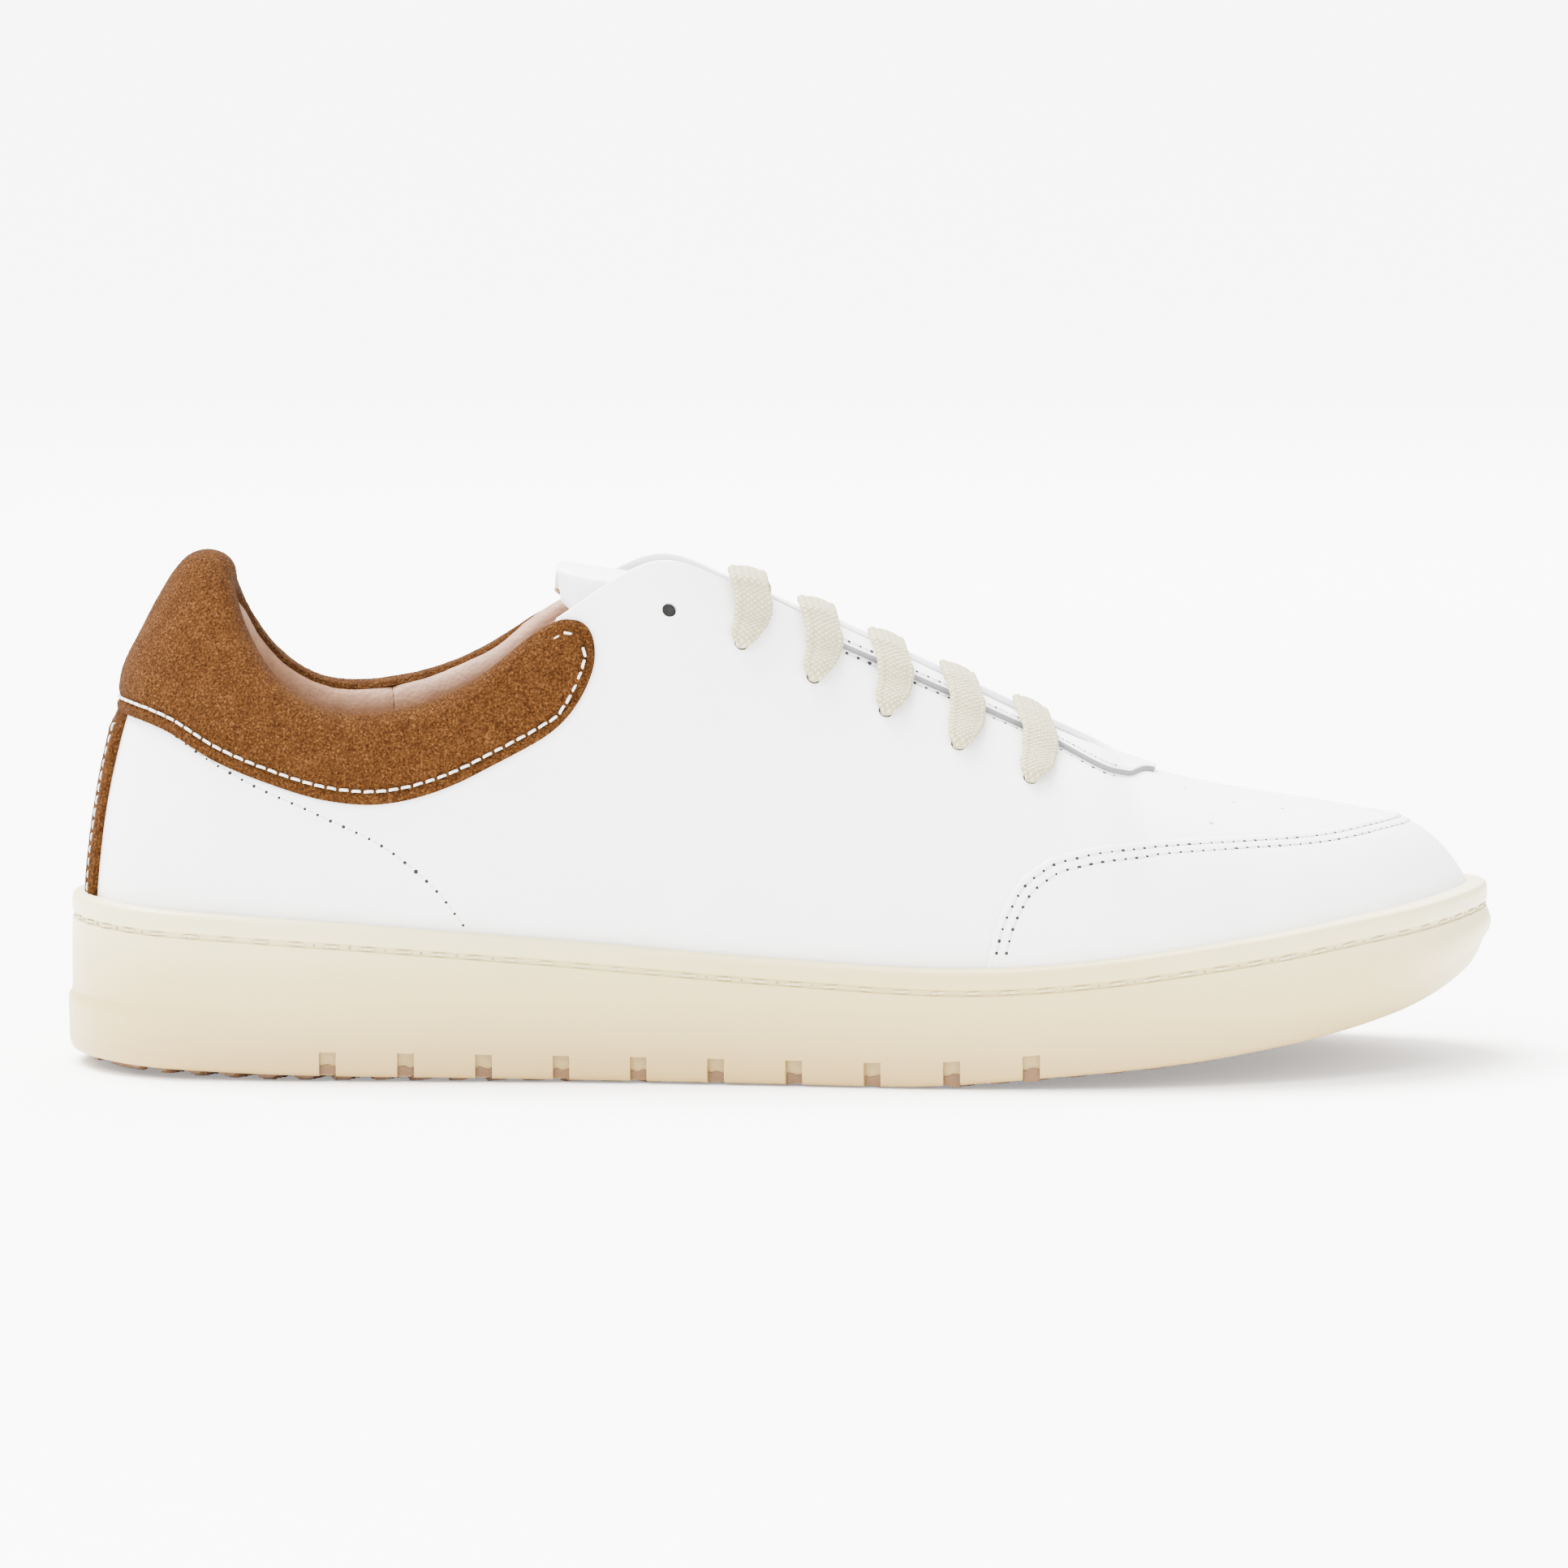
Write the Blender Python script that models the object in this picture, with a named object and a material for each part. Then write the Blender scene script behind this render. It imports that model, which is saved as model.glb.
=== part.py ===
"""A right court shoe, men's EU 42 to 43, as the pieces it is sewn, lasted and cemented from.

Frame: +X to the toe, +Y to the inner (medial) side, +Z up; the ground is z = 0.
Lengths in the tables are millimetres; MM turns them into Blender's metres.

The upper is laid out on one surface, point(t, v). t runs round the shoe, 0 at the back of
the heel, 1 at the toe tip, 0 to 1 on the outer side and 1 to 2 on the inner side. v is 0 at
the feather edge, where the upper turns under the insole board, and 1 at its top edge, or at
the ridge of the vamp. Every layer is a stretch of that surface moved out or in.
"""

import math

import bmesh
import bpy
import numpy as np
from mathutils import Vector

MM = 0.001

# Driving dimensions, mm
SHELL = 1.6            # thickness of the outer leather
OVERLAY = 1.3          # thickness of a piece sewn on top of it
SUEDE = 1.2
LINING = 1.1
STIFFENER = 0.9        # heel counter and toe puff
TAPE = 0.6             # the reinforcement behind the eyelets
GAP = 0.35             # space between neighbouring pieces
CURVED_GAP = 0.6       # the same between faceted layers whose facets don't match
LINING_DEPTH = 3.75    # from the upper's outer face to the lining
COLLAR_PAD = 8.0       # the same where the collar is padded
FEATHER_DROP = 11.0    # from the lip of the sole down to the feather edge
MARGIN = 12.0          # width of the leather turned under the insole board
LIP_HEIGHT = 4.3       # band of the sole above the stitched groove
GROOVE = 1.0
WALL = 2.4             # thickness of the sole's side wall at its foot
BASE = 2.8             # thickness of the sole's floor
TREAD_PLATE = 2.3
BOARD = 1.5
FOOTBED_FOAM = 3.0
FOOTBED_COVER = 0.8
NOTCHES = 10
NOTCH_PITCH = 16.2
NOTCH_FIRST = -94.2
NOTCH_WIDTH = 3.4
NOTCH_HEIGHT = 5.1
EYELETS = 6            # pairs, from the top; the lace starts in the second
EYELET_FIRST = (-23.3, 97.7)   # x and z of the top one
EYELET_PITCH = 15.0
EYELET_FALL = 0.468    # how fast the row drops towards the toe
EYELET_RADIUS = 1.8
LACE_WIDTH = 8.4
LACE_THICK = 1.4
LACE_HIDDEN = 4.5      # its width where it runs bunched inside the shoe
LACE_IN_HOLE = 2.0
LACE_CROWN = 0.12      # how much a bar arches over the throat
LACE_DEPTH = 6.6       # below the upper's outer face, inside the shoe
TONGUE_DEPTH = 7.8
TONGUE_CROWN = 0.25
TONGUE_LEATHER = 1.2
TONGUE_FOAM = 3.4
TONGUE_LINING = 0.9
AGLET_LENGTH = 20.0
AGLET_RADIUS = 1.4
THREAD = 0.7
THROAT_END = 0.82      # t of the front of the throat

# t, feather x, feather y, top x, top y, top z, roundness in degrees, reach of the sole
OUTER_SIDE = (
    (0.00, -145.8, 0.0, -121.5, 0.0, 106.8, 66, 4.0),
    (0.05, -141.8, -17.0, -118.5, -8.5, 104.3, 61, 4.0),
    (0.10, -131.0, -29.5, -112.0, -17.0, 91.5, 52, 4.0),
    (0.16, -112.0, -35.0, -104.0, -23.5, 81.0, 46, 3.6),
    (0.25, -88.0, -37.0, -88.0, -29.0, 75.5, 38, 3.2),
    (0.34, -64.0, -37.5, -65.0, -31.5, 82.0, 38, 3.2),
    (0.41, -45.0, -38.0, -45.5, -31.0, 97.0, 42, 3.2),
    (0.47, -27.0, -39.5, -26.5, -27.0, 107.8, 50, 3.2),
    (0.53, -10.0, -42.0, -10.0, -22.5, 103.2, 60, 3.2),
    (0.60, 12.0, -45.5, 10.0, -18.5, 93.5, 68, 3.2),
    (0.68, 35.0, -49.0, 33.0, -14.5, 82.0, 75, 3.2),
    (0.75, 56.0, -50.5, 55.0, -11.0, 71.0, 82, 3.2),
    (0.79, 69.0, -50.3, 66.5, -7.0, 66.0, 86, 3.2),
    (0.82, 78.5, -49.0, 71.5, 1.0, 63.6, 88, 3.2),
    (0.86, 92.0, -45.5, 83.0, 2.0, 59.8, 90, 3.2),
    (0.91, 112.0, -37.5, 96.0, 4.0, 56.8, 90, 3.2),
    (0.955, 132.0, -22.0, 108.0, 6.0, 54.8, 90, 3.2),
    (1.00, 146.6, 9.0, 117.0, 8.0, 53.4, 90, 3.2),
)
INNER_SIDE = (
    (1.045, 139.0, 34.0, 108.0, 6.0, 54.8, 90, 3.2),
    (1.09, 120.0, 46.0, 96.0, 4.0, 56.8, 90, 3.2),
    (1.14, 97.0, 50.0, 83.0, 2.0, 59.8, 90, 3.2),
    (1.18, 80.0, 50.2, 71.5, 1.0, 63.6, 88, 3.2),
    (1.21, 68.0, 49.3, 66.5, 9.0, 66.0, 86, 3.2),
    (1.25, 54.0, 47.0, 55.0, 13.5, 71.0, 82, 3.2),
    (1.32, 33.0, 42.0, 33.0, 16.5, 81.2, 75, 3.2),
    (1.40, 10.0, 36.5, 10.0, 19.5, 91.9, 68, 3.2),
    (1.47, -11.0, 33.0, -10.0, 22.5, 100.8, 60, 3.2),
    (1.53, -27.0, 32.5, -26.5, 26.5, 105.6, 46, 3.2),
    (1.59, -45.0, 33.5, -45.5, 30.0, 96.3, 40, 3.2),
    (1.66, -64.0, 35.0, -65.0, 30.5, 84.0, 38, 3.2),
    (1.75, -88.0, 36.5, -88.0, 28.5, 78.0, 38, 3.2),
    (1.84, -112.0, 35.0, -104.0, 23.5, 82.5, 46, 3.6),
    (1.90, -131.0, 29.5, -112.0, 17.0, 92.0, 52, 4.0),
    (1.95, -141.8, 17.0, -118.5, 8.5, 104.3, 61, 4.0),
)
LIP_Z = ((-150, 36.4), (-102, 33.8), (-60, 30.8), (0, 26.4), (38, 24.9), (95, 30.2), (125, 34.4), (150, 37.2))
FOOT_Z = (
    (-150, 3.2), (-133, 2.5), (-115, 1.8), (-60, 0.9), (0, 0.5), (30, 0.6),
    (55, 2.6), (95, 6.7), (125, 11.7), (141, 15.8), (150, 19.5),
)
COLLAR_EDGE = (
    (-150, 73.2), (-137, 74.0), (-129, 71.8), (-118, 65.8), (-106, 61.2), (-94, 58.0),
    (-84, 57.4), (-76, 58.8), (-68, 61.6), (-60, 65.6), (-50, 71.0), (-44, 74.6), (-38.0, 79.0),
)
GUARD_EDGE = (
    (41.5, 22.0), (43.7, 31.9), (47, 39.5), (53, 45.4), (62, 48.2), (76, 49.2), (95, 49.4),
    (112, 49.6), (124, 50.6), (130, 50.9), (150, 51.0),
)
STRIP_HALF_T = 0.030   # half width of the strip up the back of the heel, in t
COLLAR_FRONT = 0.425
GUARD_START = 0.703
GUARD_OFFSET = 0.95
TRIM_START = 0.585


def spline(knots, values, wrap=None):
    """A smooth cubic through the values at the knots; wrap is the period of a closed one."""
    knots, values = np.asarray(knots, float), np.asarray(values, float)
    if wrap:
        reach = 4
        knots = np.concatenate([knots[-reach:] - wrap, knots, knots[:reach] + wrap])
        values = np.concatenate([values[-reach:], values, values[:reach]])
    step, rise = np.diff(knots), np.diff(values)
    slope = rise / step
    tangent = np.zeros(len(knots))
    tangent[0], tangent[-1] = slope[0], slope[-1]
    tangent[1:-1] = (slope[:-1] * step[1:] + slope[1:] * step[:-1]) / (step[:-1] + step[1:])

    def at(place):
        if wrap:
            place = place % wrap
        i = int(np.clip(np.searchsorted(knots, place) - 1, 0, len(step) - 1))
        u = min(max((place - knots[i]) / step[i], 0.0), 1.0)
        return float(
            values[i] * (1 + 2 * u) * (1 - u) ** 2
            + values[i + 1] * (3 - 2 * u) * u * u
            + step[i] * (tangent[i] * u * (1 - u) ** 2 + tangent[i + 1] * (u - 1) * u * u)
        )

    return at


TABLE = np.array(OUTER_SIDE + INNER_SIDE)
FEATHER_X, FEATHER_Y, TOP_X, TOP_Y, TOP_Z, ROUND, REACH = (
    spline(TABLE[:, 0], TABLE[:, column], wrap=2.0) for column in range(1, 8)
)
lip_z = spline(*zip(*LIP_Z))
foot_z = spline(*zip(*FOOT_Z))
collar_edge = spline(*zip(*COLLAR_EDGE))
guard_edge = spline(*zip(*GUARD_EDGE))


def feather_z(x):
    return lip_z(x) - FEATHER_DROP


def outward(t):
    """The level direction out of the feather outline."""
    step = 0.004
    along = Vector((
        FEATHER_X(t + step) - FEATHER_X(t - step), FEATHER_Y(t + step) - FEATHER_Y(t - step), 0
    ))
    return Vector((along.y, -along.x, 0)).normalized()


def outline(t, reach, z):
    """A point of the sole's plan, reach outside the feather outline."""
    out = outward(t)
    return Vector((FEATHER_X(t) + out.x * reach, FEATHER_Y(t) + out.y * reach, z))


def top_point(t):
    """The top edge; along the ridge of the vamp both sides share the middle line."""
    if THROAT_END - 1e-9 <= t % 2 <= 2 - THROAT_END + 1e-9:
        t, facing = t % 2, 2 - t % 2
        return Vector([(part(t) + part(facing)) / 2 for part in (TOP_X, TOP_Y, TOP_Z)])
    return Vector((TOP_X(t), TOP_Y(t), TOP_Z(t)))


def point(t, v):
    feather = Vector((FEATHER_X(t), FEATHER_Y(t), feather_z(FEATHER_X(t))))
    if v < 0:
        inner = outline(t, v * MARGIN, 0)
        return Vector((inner.x, inner.y, feather_z(inner.x)))
    full = math.radians(ROUND(t))
    angle = v * full
    sideways = (1 - math.cos(angle)) / (1 - math.cos(full))
    top = top_point(t)
    return Vector((
        feather.x + (top.x - feather.x) * sideways,
        feather.y + (top.y - feather.y) * sideways,
        feather.z + (top.z - feather.z) * math.sin(angle) / math.sin(full),
    ))


def on_ridge(t, v):
    return v > 0.9999 and THROAT_END - 1e-6 <= t % 2 <= 2 - THROAT_END + 1e-6


def side_normal(t, v):
    step = 0.004
    low, high = max(v - 0.02, -1), min(v + 0.02, 1)
    along = point(t + step, v) - point(t - step, v)
    up = point(t, high) - point(t, low)
    return along.cross(up).normalized()


def normal(t, v):
    """The outward direction; on the vamp's ridge the two sides share theirs."""
    if on_ridge(t, v):
        return (side_normal(t, v) + side_normal(2 - t, v)).normalized()
    return side_normal(t, v)


def layer(t, v, out):
    return point(t, v) + normal(t, v) * out


def crossing(t, line, top=1.0):
    """v where column t of the upper meets a line drawn on the side of the shoe."""
    low, high = 0.0, top
    for _ in range(30):
        middle = (low + high) / 2
        here = point(t, middle)
        low, high = (middle, high) if here.z < line(here.x) else (low, middle)
    return low


def ease(edge_a, edge_b, value):
    u = min(max((value - edge_a) / (edge_b - edge_a), 0.0), 1.0)
    return u * u * (3 - 2 * u)


def from_heel(t):
    """How far round from the heel t is, on either side."""
    return min(t % 2, 2 - t % 2)


def collar_low(t):
    return crossing(t, collar_edge)


def collar_share(t):
    """1 along the padded collar, 0 in front of it."""
    return 1 - ease(COLLAR_FRONT - 0.09, COLLAR_FRONT + 0.01, from_heel(t))


def lining_depth(t, v):
    low = collar_low(t) if from_heel(t) < COLLAR_FRONT + 0.02 else 0.8
    swell = ease(low - 0.05, min(low + 0.15, 0.96), v) * collar_share(t)
    return LINING_DEPTH + (COLLAR_PAD - LINING_DEPTH) * swell


def spread(start, end, count):
    return [start + (end - start) * i / (count - 1) for i in range(count)]


SIDE_COLUMNS = [0.0, STRIP_HALF_T] + spread(0.065, 0.393, 9) + spread(0.404, 0.79, 10) + spread(THROAT_END, 1, 11)


def ring_columns():
    """t of the columns right round, the same on both sides."""
    return SIDE_COLUMNS + [2 - t for t in reversed(SIDE_COLUMNS[1:-1])]


def run(start, end):
    """The ring's columns between two places, and the places themselves, so that facets match."""
    every = {-t for t in SIDE_COLUMNS} | set(SIDE_COLUMNS) | {2 - t for t in SIDE_COLUMNS}
    return [start] + sorted(t for t in every if start + 0.006 < t < end - 0.006) + [end]


def finish(bm, name, colour, roughness, metallic=0.0, smooth=40):
    """The bmesh, in millimetres, as a named object with its own material."""
    bmesh.ops.remove_doubles(bm, verts=bm.verts, dist=0.002)
    bmesh.ops.dissolve_degenerate(bm, dist=0.002, edges=bm.edges)
    bmesh.ops.recalc_face_normals(bm, faces=bm.faces)
    bmesh.ops.scale(bm, verts=bm.verts, vec=(MM, MM, MM))
    mesh = bpy.data.meshes.new(name)
    bm.to_mesh(mesh)
    bm.free()
    mesh.shade_smooth()
    mesh.set_sharp_from_angle(angle=math.radians(smooth))
    made = bpy.data.objects.new(name, mesh)
    bpy.context.scene.collection.objects.link(made)
    material = bpy.data.materials.new(name)
    material.use_nodes = True
    shader = material.node_tree.nodes["Principled BSDF"]
    shader.inputs["Base Color"].default_value = (*colour, 1)
    shader.inputs["Roughness"].default_value = roughness
    shader.inputs["Metallic"].default_value = metallic
    mesh.materials.append(material)
    return made


WHITE = (0.88, 0.885, 0.89)
TAN = (0.36, 0.14, 0.045)
LINING_TAN = (0.50, 0.29, 0.18)
CREAM = (0.82, 0.76, 0.63)
GUM = (0.37, 0.18, 0.06)
FIBRE = (0.45, 0.36, 0.25)
FOAM = (0.75, 0.72, 0.62)
LACE_CREAM = (0.76, 0.73, 0.63)


def sheet_solid(outer, inner, closed=False, ridge=None):
    """A closed solid between two grids of points, outer[column][row] and inner likewise.

    ridge(column) is true where the last row is shared with the other side of the shoe.
    """
    bm = bmesh.new()
    tops = [[bm.verts.new(p) for p in column] for column in outer]
    lows = [[bm.verts.new(p) for p in column] for column in inner]
    columns, rows = len(tops), len(tops[0])
    pairs = [(i, (i + 1) % columns) for i in range(columns if closed else columns - 1)]
    for a, b in pairs:
        for j in range(rows - 1):
            bm.faces.new((tops[a][j], tops[b][j], tops[b][j + 1], tops[a][j + 1]))
            bm.faces.new((lows[a][j + 1], lows[b][j + 1], lows[b][j], lows[a][j]))
        bm.faces.new((tops[b][0], tops[a][0], lows[a][0], lows[b][0]))
        if not (ridge and ridge(a) and ridge(b)):
            bm.faces.new((tops[a][-1], tops[b][-1], lows[b][-1], lows[a][-1]))
    if not closed:
        for end, turn in ((0, 1), (-1, -1)):
            for j in range(rows - 1):
                corners = (tops[end][j], tops[end][j + 1], lows[end][j + 1], lows[end][j])
                bm.faces.new(corners[::turn])
    return bm


def patch(columns, low, high, rows, outer, inner, closed=False, ridge=False):
    """A stretch of the upper between v = low(t) and high(t), from depth inner to outer."""
    def grid(depth):
        return [[layer(t, v, depth(t, v)) for v in spread(low(t), high(t), rows)] for t in columns]

    shared = (lambda i: on_ridge(columns[i], high(columns[i]))) if ridge else None
    return sheet_solid(grid(outer), grid(inner), closed, shared)


def constant(value):
    return lambda *_: value


# ---- The sole ----

def slab(low, high, inset, columns=30, across=2):
    """A plate inside the feather outline: heights low(x) and high(x), inset(t) from it."""
    grid_low, grid_high = [], []
    for t in spread(0.0, 0.8, columns // 2) + spread(0.82, 1.0, columns // 2):
        outer_side, inner_side = outline(t, -inset(t), 0), outline(2 - t, -inset(t), 0)
        row = [outer_side.lerp(inner_side, k / across) for k in range(across + 1)]
        grid_low.append([Vector((p.x, p.y, low(p.x))) for p in row])
        grid_high.append([Vector((p.x, p.y, high(p.x))) for p in row])
    return sheet_solid(grid_high, grid_low)


def swept(profiles, closed=False, open_end=False):
    """Joins the same closed outline placed at each column; open_end leaves out its last side."""
    bm = bmesh.new()
    loops = [[bm.verts.new(p) for p in profile] for profile in profiles]
    sides = len(loops[0])
    for a in range(len(loops) if closed else len(loops) - 1):
        near, far = loops[a], loops[(a + 1) % len(loops)]
        for k in range(sides - 1 if open_end else sides):
            m = (k + 1) % sides
            bm.faces.new((near[k], near[m], far[m], far[k]))
    if not closed:
        bm.faces.new(loops[0])
        bm.faces.new(reversed(loops[-1]))
    return bm


def overlay_share(t):
    """1 where a sewn-on piece runs down behind the lip of the sole, 0 elsewhere."""
    heel = 1 - ease(STRIP_HALF_T, STRIP_HALF_T + 0.02, from_heel(t))
    return max(heel, ease(GUARD_START - 0.02, GUARD_START, from_heel(t)))


def plate_z(x):
    """Top of the tread plate, which the floor of the cup sits on."""
    return foot_z(x) + TREAD_PLATE


def floor_z(x):
    return plate_z(x) + CURVED_GAP + BASE


def middle_of(t, reach):
    """Half way across the sole between this column and the one facing it."""
    return outline(t, reach, 0).lerp(outline(2 - t, reach, 0), 0.5)


def cup_profile(t):
    """The side of the cup sole at one column, from under its middle, over the lip, to its floor."""
    reach = REACH(t)

    def beside(out, height):
        place = outline(t, out, 0)
        return Vector((place.x, place.y, height(place.x)))

    def against_upper(drop, out):
        v = crossing(t, lambda x: lip_z(x) - drop)
        return layer(t, v, out)

    middle = middle_of(t, reach - WALL)
    behind_lip = CURVED_GAP + overlay_share(t) * (GUARD_OFFSET + OVERLAY)
    return [
        Vector((middle.x, middle.y, plate_z(middle.x) + CURVED_GAP)),
        beside(reach - WALL, lambda x: plate_z(x) + CURVED_GAP),
        beside(reach - WALL, foot_z),
        beside(reach - 0.7, foot_z),
        beside(reach, lambda x: foot_z(x) + 1.2),
        beside(reach, lambda x: lip_z(x) - LIP_HEIGHT - 1.2),
        beside(reach - GROOVE, lambda x: lip_z(x) - LIP_HEIGHT - 1.0),
        beside(reach - GROOVE, lambda x: lip_z(x) - LIP_HEIGHT),
        beside(reach, lambda x: lip_z(x) - LIP_HEIGHT + 0.2),
        beside(reach - 0.1, lambda x: lip_z(x) - 0.9),
        beside(reach - 0.9, lip_z),
        against_upper(0.0, behind_lip),
        against_upper(4.0, behind_lip),
        against_upper(4.6, CURVED_GAP),
        beside(CURVED_GAP, floor_z),
        Vector((middle.x, middle.y, floor_z(middle.x))),
    ]


def block(low, high):
    """A box between two corners, as a helper that only cuts."""
    bm = bmesh.new()
    size, centre = high - low, (low + high) / 2
    bmesh.ops.create_cube(bm, size=1.0)
    bmesh.ops.scale(bm, verts=bm.verts, vec=size)
    bmesh.ops.translate(bm, verts=bm.verts, vec=centre)
    return bm


def merge(target, piece):
    """Adds the faces of one bmesh to another."""
    spare = bpy.data.meshes.new("spare")
    piece.to_mesh(spare)
    piece.free()
    target.from_mesh(spare)
    bpy.data.meshes.remove(spare)


def cut(made, cutter):
    """Takes the cutter's shape out of an object."""
    boolean = made.modifiers.new("cut", "BOOLEAN")
    boolean.object = cutter
    boolean.operation = "DIFFERENCE"


def as_cutter(bm, name):
    cutter = finish(bm, name, (0.5, 0.5, 0.5), 0.5)
    cutter.hide_render = True
    cutter.display_type = "WIRE"
    return cutter


def notch_x(i):
    return NOTCH_FIRST + i * NOTCH_PITCH


def make_cup_sole():
    cup = finish(
        swept([cup_profile(t) for t in ring_columns()], closed=True, open_end=True),
        "cup_sole", CREAM, 0.45,
    )
    notches = bmesh.new()
    for i in range(NOTCHES):
        x = notch_x(i)
        for facing in (-1, 1):
            half = NOTCH_WIDTH / 2
            near, far = sorted((facing * 70.0, facing * 15.0))
            low = Vector((x - half, near, foot_z(x) - 3))
            top = min(foot_z(x) + NOTCH_HEIGHT, plate_z(x) + CURVED_GAP - 0.2)
            merge(notches, block(low, Vector((x + half, far, top))))
    cut(cup, as_cutter(notches, "notch_cutter"))


def tread_low(x):
    return max(0.0, foot_z(x) - 1.3)


def outer_column(x):
    """t of the outer side's feather point at a given x."""
    low, high = 0.0, 1.0
    for _ in range(40):
        middle = (low + high) / 2
        low, high = (middle, high) if FEATHER_X(middle) < x else (low, middle)
    return low


def make_tread():
    """The gum plate in the foot of the cup, with a channel across it behind each notch."""
    half, edge, depth, inset = NOTCH_WIDTH / 2, 0.0004, 1.6, -1.0
    columns = [(t, 0.0) for t in spread(0.0, outer_column(notch_x(0)) - 0.03, 8)]
    for i in range(NOTCHES):
        near, far = outer_column(notch_x(i) - half), outer_column(notch_x(i) + half)
        columns += [(near - edge, 0.0), (near + edge, depth), (far - edge, depth), (far + edge, 0.0)]
    columns += [(t, 0.0) for t in spread(columns[-1][0] + 0.03, 1.0, 14)]
    lows, highs = [], []
    for t, rise in columns:
        inner_edge = REACH(t) - WALL + inset
        row = [outline(t, inner_edge, 0).lerp(outline(2 - t, inner_edge, 0), k / 4) for k in range(5)]
        lows.append([Vector((p.x, p.y, tread_low(p.x) + rise)) for p in row])
        highs.append([Vector((p.x, p.y, plate_z(p.x) - GAP)) for p in row])
    finish(sheet_solid(highs, lows), "tread", GUM, 0.6)


def make_inner_sole():
    finish(
        slab(lambda x: floor_z(x) + GAP, lambda x: feather_z(x) - GAP, constant(CURVED_GAP)),
        "midsole_cushion", FOAM, 0.9,
    )
    board_low = SHELL + CURVED_GAP
    cover_low = board_low + BOARD + GAP + FOOTBED_FOAM + GAP

    def wall_inset(t):
        """Clear of the linings, which lean in over the toes."""
        return LINING_DEPTH + LINING + 1.5 * CURVED_GAP + 3.0 * ease(0.6, 0.95, from_heel(t))

    finish(
        slab(lambda x: feather_z(x) + board_low, lambda x: feather_z(x) + board_low + BOARD,
             lambda t: board_low + 1.2 * ease(0.6, 0.95, from_heel(t))),
        "insole_board", FIBRE, 0.9,
    )
    finish(
        slab(
            lambda x: feather_z(x) + board_low + BOARD + GAP,
            lambda x: feather_z(x) + cover_low - GAP, wall_inset,
        ),
        "footbed_foam", FOAM, 0.9,
    )
    finish(
        slab(
            lambda x: feather_z(x) + cover_low,
            lambda x: feather_z(x) + cover_low + FOOTBED_COVER, wall_inset,
        ),
        "footbed_cover", LINING_TAN, 0.7,
    )


# ---- The upper ----

def shell_top(t):
    """The leather stops a little above the padded collar's lower edge, behind the suede."""
    hidden = 1 - ease(0.3935, 0.404, from_heel(t))
    return 1 - hidden * (1 - min(collar_low(t) + 0.13, 1))


def above_board(t):
    clear = SHELL + CURVED_GAP + BOARD + 2 * CURVED_GAP
    return crossing(t, lambda x: feather_z(x) + clear)


def make_upper():
    """The white leather, one piece from heel to toe, turned under the board at its foot."""
    columns = ring_columns()

    def rows(t):
        return [-1.0] + spread(0.0, shell_top(t), 8)

    outer = [[layer(t, v, 0.0) for v in rows(t)] for t in columns]
    inner = [[layer(t, v, -SHELL) for v in rows(t)] for t in columns]
    bm = sheet_solid(outer, inner, closed=True, ridge=lambda i: on_ridge(columns[i], 1.0))
    return finish(bm, "upper", WHITE, 0.42)


def make_toe_guard():
    tail = [GUARD_START, 0.712, 0.722, 0.734]
    columns = tail + run(0.747, 1.253) + [2 - t for t in reversed(tail)]

    def low(t):
        return crossing(t, lambda x: lip_z(x) - 3.2)

    def high(t):
        return max(crossing(t, guard_edge), low(t) + 0.03)

    bm = patch(columns, low, high, 6, constant(GUARD_OFFSET + OVERLAY), constant(GUARD_OFFSET))
    return finish(bm, "toe_guard", WHITE, 0.42)


def trim_low(t):
    """Lower edge of the trim beside the throat, and its flap in front of the throat."""
    side = from_heel(t)
    return 0.925 - 0.105 * ease(0.74, 0.80, side) + 0.14 * ease(0.815, 0.845, side)


def make_throat_trim():
    columns = run(TRIM_START, THROAT_END) + [THROAT_END + 0.012, THROAT_END + 0.024]
    columns += [2 - t for t in reversed(columns)]
    half = len(columns) // 2

    def strip(part):
        outer = [[layer(t, v, GAP + OVERLAY) for v in spread(trim_low(t), 1.0, 4)] for t in part]
        inner = [[layer(t, v, GAP) for v in spread(trim_low(t), 1.0, 4)] for t in part]
        return sheet_solid(outer, inner, ridge=lambda i: on_ridge(part[i], 1.0))

    bm = strip(columns[:half])
    merge(bm, strip(columns[half:]))
    return finish(bm, "throat_trim", WHITE, 0.42)


def make_stiffeners():
    behind = SHELL + CURVED_GAP
    depth_in, depth_out = constant(-(behind + STIFFENER)), constant(-behind)
    counter = patch(
        run(-0.19, 0.19), above_board,
        lambda t: min(collar_low(t) - 0.02, 0.95) - 0.20 * ease(0.05, 0.19, abs(t)), 5,
        depth_out, depth_in,
    )
    finish(counter, "heel_counter", FIBRE, 0.8)
    puff = patch(
        run(0.86, 1.14), above_board, lambda t: 0.80 - 0.25 * ease(0.0, 0.14, abs(t - 1)), 5,
        depth_out, depth_in,
    )
    finish(puff, "toe_puff", FIBRE, 0.8)
    tapes = []
    for name, start, end in (("outer_eyestay_tape", 0.46, 0.775), ("inner_eyestay_tape", 1.225, 1.54)):
        tape = patch(
            run(start, end), constant(0.62), constant(0.975), 4,
            constant(-behind - GAP), constant(-behind - GAP - TAPE),
        )
        tapes.append(finish(tape, name, FIBRE, 0.8))
    return tapes


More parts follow.
